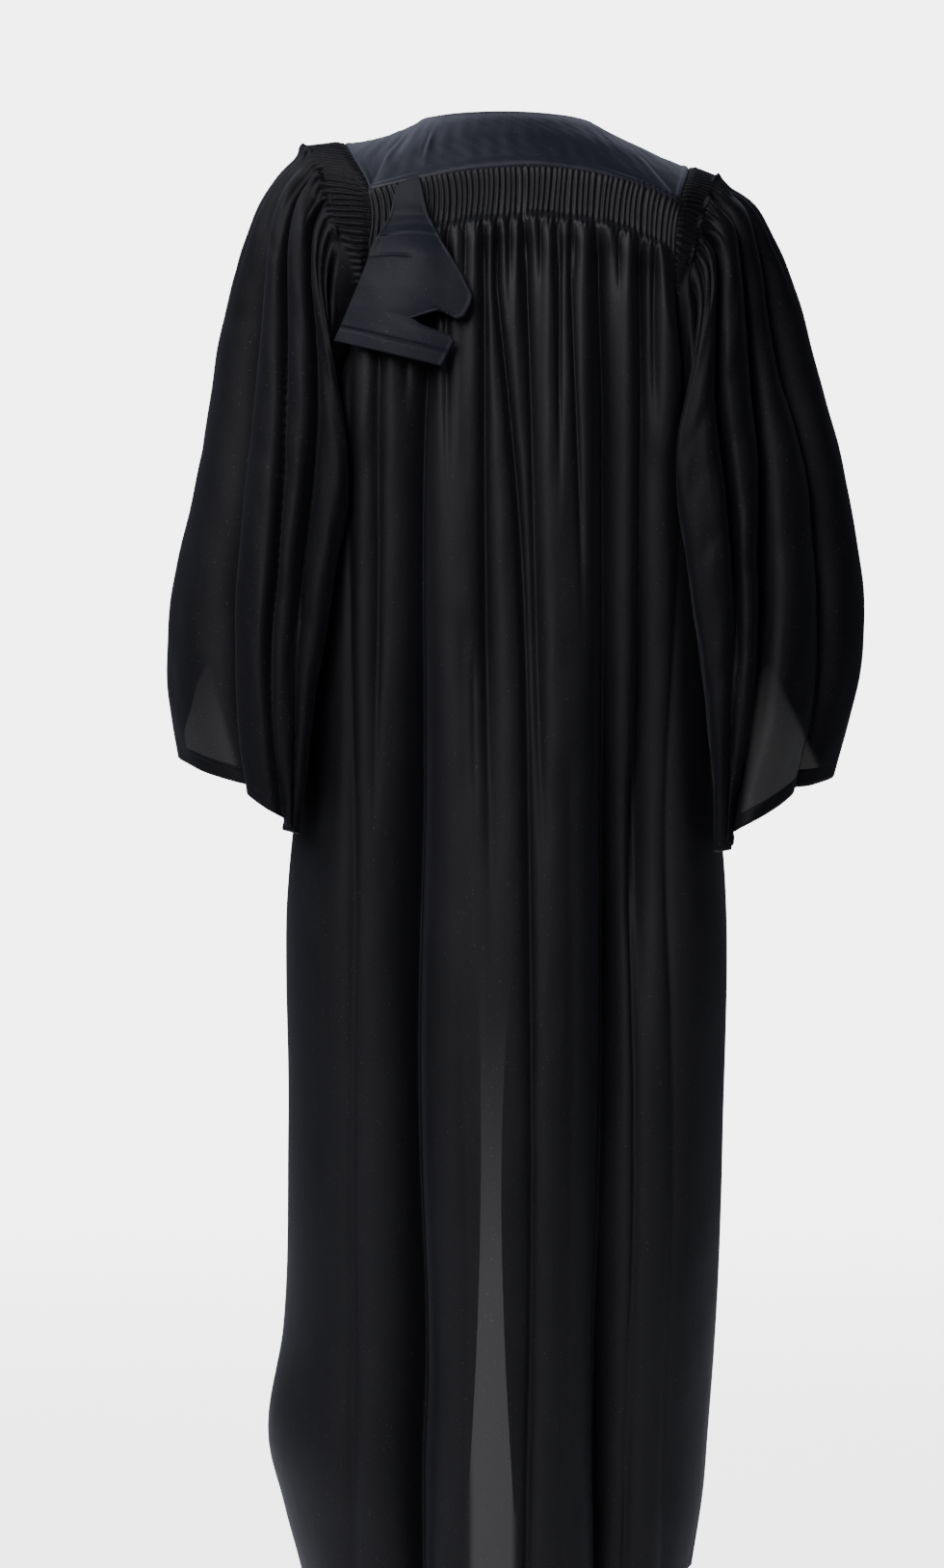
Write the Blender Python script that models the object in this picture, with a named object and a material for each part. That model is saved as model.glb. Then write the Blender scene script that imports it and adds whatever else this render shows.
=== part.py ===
"""An advocate's gown as it hangs when worn: hollow, open at the front, sleeves at the sides.

Metres, +Z up. The back of the gown faces +Y, its front opening faces -Y, and the wearer's
left is +X. The origin is in the middle of the neck opening, level with the shoulders that
carry the yoke. Every panel is a cloth wall: an outer surface worked out from a table of
sections, and an inner one a cloth's thickness behind it.
"""

import math
from collections import namedtuple

import bpy
import numpy as np

# Driving sizes

CLOTH = 0.0016
YOKE_CLOTH = 0.0022
HOOD_CLOTH = 0.0022
SEAM_GAP = 0.0006
SIDE_GAP = 0.0003
SLEEVE_GAP = 0.0007
UNDERARM_GAP = 0.0005
HEM = -1.386
STEEPEST = 2.2

BACK_RIBS = 57
SLEEVE_RIBS = 44
RIB_HEIGHT = 0.0018
TUCKED = 0.5

# The armhole, as a closed run of points. turn counts round it: 0 at the top of the shoulder,
# then down the back, 0.5 at the underarm, and up the front to 1.

ArmholePoint = namedtuple("ArmholePoint", "turn x y z")

LEFT_ARMHOLE = (
    ArmholePoint(0.000, 0.159, 0.012, -0.009),
    ArmholePoint(0.065, 0.150, 0.063, -0.026),
    ArmholePoint(0.130, 0.132, 0.107, -0.061),
    ArmholePoint(0.250, 0.138, 0.114, -0.150),
    ArmholePoint(0.360, 0.156, 0.089, -0.232),
    ArmholePoint(0.440, 0.170, 0.045, -0.283),
    ArmholePoint(0.500, 0.176, 0.000, -0.300),
    ArmholePoint(0.560, 0.171, -0.045, -0.283),
    ArmholePoint(0.650, 0.158, -0.083, -0.228),
    ArmholePoint(0.750, 0.149, -0.095, -0.155),
    ArmholePoint(0.850, 0.150, -0.085, -0.075),
    ArmholePoint(0.925, 0.158, -0.040, -0.025),
)

RIGHT_ARMHOLE = (
    ArmholePoint(0.000, -0.169, 0.012, -0.032),
    ArmholePoint(0.065, -0.165, 0.063, -0.044),
    ArmholePoint(0.130, -0.155, 0.107, -0.072),
    ArmholePoint(0.250, -0.150, 0.114, -0.158),
    ArmholePoint(0.360, -0.157, 0.089, -0.238),
    ArmholePoint(0.440, -0.166, 0.045, -0.288),
    ArmholePoint(0.500, -0.170, 0.000, -0.304),
    ArmholePoint(0.560, -0.167, -0.045, -0.288),
    ArmholePoint(0.650, -0.159, -0.083, -0.234),
    ArmholePoint(0.750, -0.156, -0.095, -0.165),
    ArmholePoint(0.850, -0.160, -0.085, -0.092),
    ArmholePoint(0.925, -0.168, -0.040, -0.048),
)

BACK_CORNER = 0.130
UNDERARM = 0.500
FRONT_CORNER = 0.850
BACK_TURNS = (0.130, 0.158, 0.186, 0.197, 0.235, 0.280, 0.330, 0.385, 0.440, 0.500)
FRONT_TURNS = (0.850, 0.810, 0.765, 0.715, 0.660, 0.610, 0.560, 0.500)
YOKE_TURNS = (-0.150, -0.112, -0.075, -0.037, 0.0, 0.032, 0.065, 0.098, 0.130)

# The body of the gown below the armholes, seen from above as a rounded box

BodySection = namedtuple("BodySection", "z left right")

BODY_SECTIONS = (
    BodySection(-0.300, 0.176, -0.170),
    BodySection(-0.450, 0.184, -0.179),
    BodySection(-0.600, 0.194, -0.188),
    BodySection(-0.700, 0.211, -0.204),
    BodySection(-0.950, 0.216, -0.207),
    BodySection(-1.150, 0.222, -0.201),
    BodySection(-1.255, 0.236, -0.194),
    BodySection(-1.310, 0.224, -0.190),
    BodySection(HEM, 0.205, -0.179),
)

# Rows of the back panel. edge is the height where the row meets the armhole or the side seam,
# middle its height at the centre back, depth how far it stands behind the origin.

BackRow = namedtuple("BackRow", "edge middle depth square")

BACK_ROWS = (
    BackRow(-0.061, -0.061, 0.114, 4.0),
    BackRow(-0.108, -0.108, 0.121, 5.0),
    BackRow(-0.190, -0.195, 0.132, 5.0),
    BackRow(-0.300, -0.315, 0.141, 4.2),
    BackRow(-0.450, -0.470, 0.148, 3.4),
    BackRow(-0.700, -0.710, 0.156, 2.8),
    BackRow(-1.050, -1.050, 0.166, 2.5),
    BackRow(HEM, HEM - 0.008, 0.176, 2.4),
)

# Rows of each front panel. edge as above, opening is the height of the same row at the front
# opening, left and right are where the two opening edges hang, and depth is how far in front.

FrontRow = namedtuple("FrontRow", "edge opening left right depth square")

FRONT_ROWS = (
    FrontRow(-0.080, -0.086, 0.072, -0.074, 0.092, 2.4),
    FrontRow(-0.190, -0.210, 0.064, -0.062, 0.112, 2.4),
    FrontRow(-0.300, -0.345, 0.056, -0.050, 0.126, 2.4),
    FrontRow(-0.600, -0.615, 0.043, -0.030, 0.141, 2.3),
    FrontRow(-0.850, -0.855, 0.030, 0.000, 0.150, 2.2),
    FrontRow(-1.000, -1.000, 0.028, 0.007, 0.154, 2.2),
    FrontRow(-1.200, -1.200, 0.032, 0.004, 0.160, 2.2),
    FrontRow(HEM, HEM, 0.042, -0.006, 0.166, 2.2),
)

# The neck edge of the yoke, from its left front end round the nape to its right front end

NeckPoint = namedtuple("NeckPoint", "along x y z")

NECK_EDGE = (
    NeckPoint(0.00, 0.072, -0.092, -0.085),
    NeckPoint(0.14, 0.083, -0.045, -0.034),
    NeckPoint(0.26, 0.086, 0.005, 0.001),
    NeckPoint(0.37, 0.068, 0.046, 0.013),
    NeckPoint(0.50, 0.003, 0.066, 0.017),
    NeckPoint(0.63, -0.060, 0.047, 0.011),
    NeckPoint(0.74, -0.075, 0.005, 0.000),
    NeckPoint(0.86, -0.079, -0.045, -0.040),
    NeckPoint(1.00, -0.074, -0.092, -0.095),
)

YOKE_SHOULDER_END = 0.30
YOKE_CROWN = 0.006
SEAM_ARCH = 0.0265

# Rings of each sleeve, from the end of its gauged head to its hem. outer is the point furthest
# from the body, inner the point nearest it. wrap draws the back and front of a ring towards the
# body, drop lowers its back and lift raises its front.

SleeveRing = namedtuple(
    "SleeveRing", "outer_x outer_z inner_x inner_z back front wrap drop lift"
)

LEFT_RINGS = (
    SleeveRing(0.197, -0.014, 0.181, -0.309, 0.121, -0.104, 0.028, 0.000, 0.000),
    SleeveRing(0.231, -0.046, 0.185, -0.326, 0.131, -0.112, 0.030, 0.000, 0.000),
    SleeveRing(0.261, -0.106, 0.188, -0.348, 0.137, -0.120, 0.028, 0.000, 0.000),
    SleeveRing(0.283, -0.182, 0.191, -0.382, 0.142, -0.129, 0.022, 0.000, 0.005),
    SleeveRing(0.298, -0.268, 0.194, -0.427, 0.146, -0.136, 0.016, 0.002, 0.012),
    SleeveRing(0.313, -0.358, 0.198, -0.480, 0.149, -0.142, 0.010, 0.006, 0.024),
    SleeveRing(0.329, -0.438, 0.204, -0.537, 0.151, -0.146, 0.006, 0.010, 0.045),
    SleeveRing(0.331, -0.518, 0.211, -0.600, 0.151, -0.148, 0.003, 0.013, 0.080),
    SleeveRing(0.322, -0.588, 0.218, -0.655, 0.150, -0.147, 0.000, 0.014, 0.130),
)

RIGHT_RINGS = (
    SleeveRing(-0.194, -0.042, -0.176, -0.313, 0.121, -0.104, 0.024, 0.000, 0.000),
    SleeveRing(-0.232, -0.064, -0.181, -0.330, 0.131, -0.112, 0.028, 0.000, 0.000),
    SleeveRing(-0.262, -0.116, -0.184, -0.353, 0.137, -0.120, 0.026, 0.000, 0.000),
    SleeveRing(-0.287, -0.187, -0.187, -0.388, 0.142, -0.129, 0.020, 0.000, 0.005),
    SleeveRing(-0.309, -0.262, -0.190, -0.433, 0.146, -0.136, 0.015, 0.002, 0.012),
    SleeveRing(-0.326, -0.342, -0.193, -0.488, 0.149, -0.142, 0.010, 0.006, 0.024),
    SleeveRing(-0.339, -0.427, -0.198, -0.546, 0.151, -0.146, 0.006, 0.010, 0.045),
    SleeveRing(-0.336, -0.515, -0.204, -0.612, 0.151, -0.148, 0.003, 0.014, 0.080),
    SleeveRing(-0.314, -0.603, -0.210, -0.674, 0.150, -0.147, 0.000, 0.012, 0.130),
)

RING_SQUARE = 2.4
RING_ROWS = 14
SLEEVE_EDGE_COLUMNS = 5
GAUGE_FROM = 0.29
GAUGE_TO = 0.72

# The folds. Each row is a valley between two ridges: where it lies at the top, the middle and
# the hem, how wide it is, and how deep it is there.

Valley = namedtuple("Valley", "top middle low width top_depth middle_depth low_depth")

BACK_VALLEYS = (
    Valley(0.122, 0.099, 0.098, 0.015, 0.010, 0.021, 0.023),
    Valley(0.079, 0.070, 0.068, 0.009, 0.008, 0.003, 0.000),
    Valley(0.052, 0.047, 0.046, 0.008, 0.007, 0.002, 0.000),
    Valley(0.028, 0.030, 0.032, 0.008, 0.006, 0.002, 0.001),
    Valley(0.004, 0.013, 0.016, 0.010, 0.008, 0.009, 0.004),
    Valley(-0.021, -0.020, -0.017, 0.009, 0.008, 0.008, 0.004),
    Valley(-0.050, -0.050, -0.050, 0.009, 0.007, 0.003, 0.001),
    Valley(-0.086, -0.096, -0.101, 0.014, 0.010, 0.021, 0.020),
    Valley(-0.126, -0.131, -0.131, 0.011, 0.009, 0.006, 0.004),
)

FRONT_VALLEYS = (
    Valley(0.128, 0.148, 0.152, 0.011, 0.005, 0.008, 0.010),
    Valley(0.098, 0.106, 0.106, 0.013, 0.005, 0.011, 0.015),
)

# On a sleeve the places are shares of the way round it, from the underarm by the front

SLEEVE_VALLEYS = (
    Valley(0.330, 0.110, 0.085, 0.017, 0.007, 0.007, 0.005),
    Valley(0.385, 0.200, 0.175, 0.019, 0.008, 0.010, 0.008),
    Valley(0.440, 0.300, 0.280, 0.022, 0.008, 0.012, 0.010),
    Valley(0.505, 0.560, 0.570, 0.018, 0.006, 0.008, 0.006),
    Valley(0.565, 0.690, 0.715, 0.021, 0.009, 0.012, 0.010),
    Valley(0.615, 0.800, 0.835, 0.018, 0.009, 0.011, 0.008),
    Valley(0.665, 0.895, 0.925, 0.015, 0.008, 0.007, 0.005),
)

# The hood piece on the left shoulder blade: a flat flap sewn into the yoke seam. across is
# measured from the centre of the back, down from the yoke seam, both along the flap's rows,
# which run parallel to its slanting bottom hem.

HoodRow = namedtuple("HoodRow", "down outer inner")

HOOD_ROWS = (
    HoodRow(0.000, 0.112, 0.089),
    HoodRow(0.020, 0.121, 0.079),
    HoodRow(0.042, 0.130, 0.067),
    HoodRow(0.065, 0.139, 0.054),
    HoodRow(0.082, 0.145, 0.043),
    HoodRow(0.096, 0.150, 0.042),
    HoodRow(0.103, 0.152, 0.057),
    HoodRow(0.113, 0.155, 0.090),
    HoodRow(0.121, 0.157, 0.057),
    HoodRow(0.140, 0.165, 0.057),
    HoodRow(0.153, 0.170, 0.060),
)

HOOD_TOP_Z = -0.058
HOOD_SLANT = 0.27
HOOD_STANDS_OFF = 0.022
HOOD_GAP = 0.0001
HOOD_COLUMNS = 8

SLOPE_FOOT = 1.35
BACK_EDGE_COLUMNS = 8
BACK_ROW_COUNT = 14
FRONT_EDGE_COLUMNS = 4
FRONT_ROW_COUNT = 10
GAUGE_ROWS = 3
YOKE_BACK_COLUMNS = 30
YOKE_ROW_COUNT = 5

BLACK_CLOTH = (0.012, 0.012, 0.015, 1.0)
YOKE_BLACK = (0.018, 0.019, 0.026, 1.0)


# Curves and rows


def column(table, name):
    """One named column of a table, as an array."""
    return np.array([getattr(row, name) for row in table], float)


def smooth(keys, values, at):
    """A cubic curve through (key, value) pairs, with each slope from the pair's neighbours."""
    keys = np.asarray(keys, float)
    values = np.asarray(values, float)
    at = np.clip(np.asarray(at, float), keys[0], keys[-1])
    slopes = np.gradient(values, keys)
    i = np.clip(np.searchsorted(keys, at, side="right") - 1, 0, len(keys) - 2)
    step = keys[i + 1] - keys[i]
    t = (at - keys[i]) / step
    return (
        values[i] * (1 + 2 * t) * (1 - t) ** 2
        + slopes[i] * step * t * (1 - t) ** 2
        + values[i + 1] * t * t * (3 - 2 * t)
        - slopes[i + 1] * step * t * t * (1 - t)
    )


def power(value, exponent):
    """A signed power, as a rounded box's outline needs."""
    return np.sign(value) * np.abs(value) ** exponent


def points(x, y, z):
    return np.stack(np.broadcast_arrays(x, y, z), axis=-1).astype(float)


def unit(vectors):
    return vectors / np.maximum(np.linalg.norm(vectors, axis=-1, keepdims=True), 1e-12)


def step_up(value, start, end):
    """0 before start, 1 after end, and a smooth rise between."""
    t = np.clip((value - start) / (end - start), 0, 1)
    return t * t * (3 - 2 * t)


def armhole_curve(table, turn):
    """The smooth closed armhole at any turn."""
    turns = column(table, "turn")
    keys = np.concatenate([turns - 1, turns, turns + 1])
    turn = np.mod(turn, 1.0)
    return points(
        *(smooth(keys, np.tile(column(table, axis), 3), turn) for axis in "xyz")
    )


def armhole(table, turn):
    """The armhole as every piece cuts it: straight between the turns that the pieces share."""
    shared = np.unique(np.mod(BACK_TURNS + FRONT_TURNS + YOKE_TURNS, 1.0))
    shared = np.concatenate([[shared[-1] - 1], shared, [shared[0] + 1]])
    corners = armhole_curve(table, shared)
    turn = np.mod(turn, 1.0)
    return points(*(np.interp(turn, shared, corners[:, axis]) for axis in range(3)))


def seam_out(place, least_rise=-1.0):
    """The outward direction at a seam, away from the shoulder's core, shared by both pieces."""
    core = points(0.75 * place[..., 0], 0.2 * place[..., 1], -0.12)
    away = unit(place - core)
    away[..., 2] = np.maximum(away[..., 2], least_rise)
    return unit(away)


# Cloth walls


def zipped(first, second, first_at, second_at):
    """Triangles between two runs of vertices: in step if they are as many, or else by places."""
    if len(first) == len(second):
        first_at = second_at = np.arange(len(first))
    faces = []
    i = j = 0
    while i < len(first) - 1 or j < len(second) - 1:
        first_done = i == len(first) - 1
        second_done = j == len(second) - 1
        if second_done or (not first_done and first_at[i + 1] <= second_at[j + 1]):
            faces.append((first[i], second[j], first[i + 1]))
            i += 1
        else:
            faces.append((first[i], second[j], second[j + 1]))
            j += 1
    return faces


class Wall:
    """A closed cloth wall, made from rows of outer points and rows of inner points."""

    def __init__(self, tube):
        self.tube = tube
        self.vertices = []
        self.outer = []
        self.inner = []

    def run(self, row):
        """Adds a row's points and returns their numbers. A tube's last is its first."""
        start = len(self.vertices)
        count = len(row) - 1 if self.tube else len(row)
        self.vertices.extend(map(tuple, row[:count]))
        numbers = list(range(start, start + count))
        return numbers + [start] if self.tube else numbers

    def add_row(self, outer, outer_at, inner, inner_at):
        self.outer.append((self.run(outer), outer_at))
        self.inner.append((self.run(inner), inner_at))

    def faces(self):
        found = []
        for (a, a_at), (b, b_at) in zip(self.outer, self.outer[1:]):
            found += zipped(a, b, a_at, b_at)
        for (a, a_at), (b, b_at) in zip(self.inner, self.inner[1:]):
            found += [face[::-1] for face in zipped(a, b, a_at, b_at)]
        for end, turned in ((0, True), (-1, False)):
            (a, a_at), (b, b_at) = self.outer[end], self.inner[end]
            rim = zipped(a, b, a_at, b_at)
            found += [face[::-1] for face in rim] if turned else rim
        if not self.tube:
            for side, turned in ((0, False), (-1, True)):
                a = [run[side] for run, _ in self.outer]
                b = [run[side] for run, _ in self.inner]
                at = np.linspace(0, 1, len(a))
                rim = zipped(a, b, at, at)
                found += [face[::-1] for face in rim] if turned else rim
        return found


def add_object(name, vertices, faces, material):
    mesh = bpy.data.meshes.new(name)
    mesh.from_pydata(vertices, [], faces)
    mesh.update()
    volume = sum(
        vertex_volume(mesh.vertices[a].co, mesh.vertices[b].co, mesh.vertices[c].co)
        for a, b, c in faces
    )
    if volume < 0:
        mesh.flip_normals()
    mesh.materials.append(material)
    mesh.shade_smooth()
    mesh.set_sharp_from_angle(angle=math.radians(60))
    piece = bpy.data.objects.new(name, mesh)
    bpy.context.scene.collection.objects.link(piece)
    return piece


def vertex_volume(a, b, c):
    return a.dot(b.cross(c)) / 6


def cloth_material(name, colour, roughness):
    material = bpy.data.materials.new(name)
    material.use_nodes = True
    shader = material.node_tree.nodes["Principled BSDF"]
    shader.inputs["Base Color"].default_value = colour
    shader.inputs["Roughness"].default_value = roughness
    shader.inputs["Metallic"].default_value = 0.0
    return material


def surface_normals(base, across, down, facing):
    """Outward normals of a surface base(across, down), from its slopes. facing is 1 or -1,
    and turns them outward for the way round that the surface is described."""
    small = 1e-3
    right = base(np.clip(across + small, 0, 1), down)
    left = base(np.clip(across - small, 0, 1), down)
    lower = base(across, np.clip(down + small, 0, 1))
    upper = base(across, np.clip(down - small, 0, 1))
    return facing * unit(np.cross(right - left, lower - upper))


def valley_depth(valleys, place, down, fade):
    """How far in the cloth lies at a place across, from its table of valleys."""
    depth = np.zeros_like(place)
    keys = (0.0, 0.45, 1.0)
    for valley in valleys:
        centre = smooth(keys, (valley.top, valley.middle, valley.low), down)
        deep = smooth(
            keys, (valley.top_depth, valley.middle_depth, valley.low_depth), down
        )
        width = valley.width * (1 + 0.35 * down)
        depth += deep * np.exp(-(((place - centre) / width) ** 2))
    return depth * fade


def cloth_pair(base_points, normals, depth, spacing, thickness):
    """Outer and inner points of one row: the valleys go in along the normals, and the wall is
    thicker along them where the cloth is steep, so that it stays a cloth's thickness."""
    slope = np.gradient(depth) / np.maximum(np.gradient(spacing), 1e-6)
    through = thickness * np.minimum(np.sqrt(1 + slope**2), STEEPEST)
    outer = base_points - normals * depth[:, None]
    return outer, outer - normals * through[:, None]


def run_length(row):
    """Distance along a row of points."""
    return np.concatenate([[0], np.cumsum(np.linalg.norm(np.diff(row, axis=0), axis=1))])


def ribs(at, count, start=0.0, end=1.0):
    """A row of rounded ribs: 1 on each ridge and 0 in each groove."""
    return 0.5 - 0.5 * np.cos(2 * np.pi * count * (at - start) / (end - start))


# The back panel


def side_edge(left_side, edge):
    """Where a row of the body meets the side seam, at a height below the underarm."""
    heights = -column(BODY_SECTIONS, "z")
    side = column(BODY_SECTIONS, "left" if left_side else "right")
    return smooth(heights, side, -edge)


def armhole_turn(turns, down, share):
    """The armhole's turn for a row: from the yoke's corner to the underarm over that share."""
    return turns[0] + (turns[-1] - turns[0]) * np.clip(down / share, 0, 1)


BACK_ARMHOLE_SHARE = 0.26
FRONT_ARMHOLE_SHARE = 0.26


def row_edge(table, left_side, turns, down, share):
    """The point where a row ends, on the armhole above and on the side seam below."""
    down = np.asarray(down, float)
    upper = armhole_curve(table, armhole_turn(turns, down, share))
    underarm = armhole_curve(table, np.array(UNDERARM))
    fall = np.clip((down - share) / (1 - share), 0, 1)
    z = underarm[2] + (HEM - underarm[2]) * fall
    lower = points(side_edge(left_side, z), 0.0, z)
    return np.where((down <= share)[..., None], upper, lower)


def seam_arch(across):
    """How far the yoke's back seam rises above the straight line between its corners."""
    return SEAM_ARCH * 4 * across * (1 - across) * (1 + 0.25 * (2 * across - 1))


def back_base(across, down):
    """The smooth back: a rounded arc between the two row edges, bulging to the back."""
    across, down = np.broadcast_arrays(across, down)
    left = row_edge(LEFT_ARMHOLE, True, BACK_TURNS, down, BACK_ARMHOLE_SHARE)
    right = row_edge(RIGHT_ARMHOLE, False, BACK_TURNS, down, BACK_ARMHOLE_SHARE)
    edge = -(left[..., 2] + right[..., 2]) / 2
    keys = -column(BACK_ROWS, "edge")
    middle = smooth(keys, column(BACK_ROWS, "middle"), edge)
    depth = smooth(keys, column(BACK_ROWS, "depth"), edge)
    square = smooth(keys, column(BACK_ROWS, "square"), edge)
    angle = np.pi * across
    swing = power(np.cos(angle), 2 / square)
    rise = np.maximum(np.sin(angle), 0) ** (2 / square)
    share = (1 - swing) / 2
    z = left[..., 2] + (right[..., 2] - left[..., 2]) * share
    z = z + (middle + edge) * rise
    z = z + seam_arch(share) * (1 - step_up(down, 0.04, 0.30))
    y_edge = (left[..., 1] + right[..., 1]) / 2
    return points(
        left[..., 0] + (right[..., 0] - left[..., 0]) * share,
        y_edge + (depth - y_edge) * rise,
        z,
    )


def even_columns(base, down, count, fine=400):
    """Places across a row that are evenly spaced along it, and those distances."""
    at = np.linspace(0, 1, fine)
    length = run_length(base(at, np.full(fine, down)))
    return np.interp(np.linspace(0, length[-1], count + 1), length, at)


def back_seam(across):
    """The seam between yoke and back, straight between the points that both pieces share."""
    shared = even_columns(back_base, 0.0, YOKE_BACK_COLUMNS)
    corners = back_base(shared, np.zeros(1))
    return points(*(np.interp(across, shared, corners[:, i]) for i in range(3)))


def valley_places(valleys, down):
    """The centres and widths of the valleys at a height, in the order they lie across."""
    keys = (0.0, 0.45, 1.0)
    centres = np.array([smooth(keys, (v.top, v.middle, v.low), down) for v in valleys])
    widths = np.array([v.width * (1 + 0.35 * down) for v in valleys])
    order = np.argsort(centres)
    return centres[order], widths[order]


def fold_places(valleys, down):
    """Places on each valley's floor, on its two slopes, and on the ridges between valleys."""
    centres, widths = valley_places(valleys, down)
    gaps = np.diff(centres)
    room = np.minimum(np.append(gaps, gaps[-1]), np.append(gaps[0], gaps)) * 0.42
    reach = np.minimum(SLOPE_FOOT * widths, room)
    places = [centres - reach, centres - 0.45 * reach, centres]
    places += [centres + 0.45 * reach, centres + reach]
    ridges = (centres[1:] + centres[:-1]) / 2
    return np.sort(np.concatenate(places + [ridges]))


def fold_columns(base, down, place_of, valleys, edge_columns, fine=500):
    """Places across a row that follow its valleys, with even ones out to both its edges."""
    at = np.linspace(0, 1, fine)
    row = base(at, np.full(fine, down))
    place = place_of(row, at)
    rising = 1 if place[-1] > place[0] else -1
    inner = np.interp(fold_places(valleys, down) * rising, place * rising, at)
    inner = np.sort(inner)
    length = run_length(row)
    start, end = np.interp(inner[[0, -1]], at, length)
    first = np.interp(np.linspace(0, start, edge_columns + 1)[:-1], length, at)
    last = np.interp(np.linspace(end, length[-1], edge_columns + 1)[1:], length, at)
    return np.concatenate([first, inner, last])


def below_seam(row, facing):
    """Straight down from a seam, square to it and to the way that its pieces face."""
    ends = np.concatenate([row[:1], row, row[-1:]])
    along = unit(ends[2:] - ends[:-2])
    return -facing * unit(np.cross(along, body_out(row)))


def panel_row(base, facing, down, across, place_of, valleys, ribbed):
    """Outer and inner points of one row of a panel. ribbed raises the outer points only."""
    row = base(across, np.full(len(across), down))
    if down == 0 and base is back_base:
        row = back_seam(across)
    normals = surface_normals(base, across, np.full(len(across), down), facing)
    for end in (0, -1):
        normals[end] = body_out(row[end])
    if down == 0:
        normals = body_out(row)
    spacing = run_length(row)
    ends = np.minimum(spacing, spacing[-1] - spacing)
    fade = step_up(ends, 0.004, 0.030) * step_up(down, 0.0, 0.05)
    places = place_of(row, across)
    depth = valley_depth(valleys, places, np.full(len(across), down), fade)
    outer, inner = cloth_pair(row, normals, depth, spacing, CLOTH)
    outer = outer + normals * ribbed[:, None]
    if down == 0:
        near_corner = 1 - step_up(ends, 0.01, 0.03)[:, None]
        shift = below_seam(row, facing) * SEAM_GAP - [0, 0, 0.8 * SEAM_GAP] * near_corner
        outer = outer + shift
        inner = inner + shift
    return outer, inner


def body_out(place):
    """The outward direction at the edges of a body panel, which never points down."""
    away = seam_out(place, 0.0)
    side = unit(points(np.sign(place[..., 0]), 0.0, 0.0))
    low = step_up(-place[..., 2], 0.20, 0.29)[..., None]
    return unit(away * (1 - low) + side * low)


def back_rows():
    """Places down the back panel: the armhole's shared turns, then even steps to the hem."""
    span = BACK_TURNS[-1] - BACK_TURNS[0]
    upper = [(t - BACK_TURNS[0]) / span * BACK_ARMHOLE_SHARE for t in BACK_TURNS]
    lower = np.linspace(upper[-1], 1, BACK_ROW_COUNT - 3)[1:]
    return upper + list(lower)


def rib_columns(base, down, count, fine=500):
    """Places across a row that fall on every ridge and in every groove of even ribs."""
    at = np.linspace(0, 1, fine)
    length = run_length(base(at, np.full(fine, down)))
    return np.interp(np.linspace(0, length[-1], 2 * count + 1), length, at)


def make_back(material):
    """The back panel: gauged ribs under the yoke, then long folds to the hem."""
    wall = Wall(tube=False)

    def across_x(row, at):
        return row[..., 0]

    for number, down in enumerate(back_rows()):
        plain_at = fold_columns(back_base, down, across_x, BACK_VALLEYS, BACK_EDGE_COLUMNS)
        if number < GAUGE_ROWS:
            outer_at = rib_columns(back_base, down, BACK_RIBS)
            raised = RIB_HEIGHT * ribs(np.linspace(0, 1, len(outer_at)), BACK_RIBS)
            raised = raised * (TUCKED if number == 0 else 1)
        else:
            outer_at = plain_at
            raised = np.zeros(len(plain_at))
        settings = (across_x, BACK_VALLEYS)
        outer, _ = panel_row(back_base, -1, down, outer_at, *settings, raised)
        flat = np.zeros(len(plain_at))
        _, inner = panel_row(back_base, -1, down, plain_at, *settings, flat)
        if down >= BACK_ARMHOLE_SHARE:
            for row in (outer, inner):
                row[[0, -1], 1] += SIDE_GAP / 2
        wall.add_row(outer, outer_at, inner, plain_at)
    return add_object("back_panel", wall.vertices, wall.faces(), material)


# The front panels


def front_base(left_side):
    """Returns the smooth surface of one front panel: 0 across is its side, 1 its opening."""
    table = LEFT_ARMHOLE if left_side else RIGHT_ARMHOLE

    def base(across, down):
        across, down = np.broadcast_arrays(across, down)
        side = row_edge(table, left_side, FRONT_TURNS, down, FRONT_ARMHOLE_SHARE)
        keys = -column(FRONT_ROWS, "edge")
        at = np.maximum(-side[..., 2], keys[0])
        opening_x = smooth(keys, column(FRONT_ROWS, "left" if left_side else "right"), at)
        opening_z = smooth(keys, column(FRONT_ROWS, "opening"), at)
        opening_z = opening_z + (0 if left_side else -0.010) * (1 - step_up(down, 0, 0.3))
        depth = smooth(keys, column(FRONT_ROWS, "depth"), at)
        square = smooth(keys, column(FRONT_ROWS, "square"), at)
        angle = np.pi / 2 * across
        swing = np.maximum(np.cos(angle), 0) ** (2 / square)
        rise = np.maximum(np.sin(angle), 0) ** (2 / square)
        return points(
            opening_x + (side[..., 0] - opening_x) * swing,
            side[..., 1] + (-depth - side[..., 1]) * rise,
            side[..., 2] + (opening_z - side[..., 2]) * rise,
        )

    return base


def front_rows():
    span = FRONT_TURNS[-1] - FRONT_TURNS[0]
    upper = [(t - FRONT_TURNS[0]) / span * FRONT_ARMHOLE_SHARE for t in FRONT_TURNS]
    lower = np.linspace(upper[-1], 1, FRONT_ROW_COUNT - 1)[1:]
    return upper + list(lower)


def make_front(left_side, material):
    """A front panel, hanging from the front end of the yoke to the hem."""
    base = front_base(left_side)
    wall = Wall(tube=False)
    sign = 1 if left_side else -1

    def across_x(row, at):
        return sign * row[..., 0]

    for down in front_rows():
        at = fold_columns(base, down, across_x, FRONT_VALLEYS, FRONT_EDGE_COLUMNS)
        flat = np.zeros(len(at))
        outer, inner = panel_row(base, sign, down, at, across_x, FRONT_VALLEYS, flat)
        if down >= FRONT_ARMHOLE_SHARE:
            for row in (outer, inner):
                row[0, 1] -= SIDE_GAP / 2
        wall.add_row(outer, at, inner, at)
    name = "front_left" if left_side else "front_right"
    return add_object(name, wall.vertices, wall.faces(), material)


# The yoke


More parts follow.
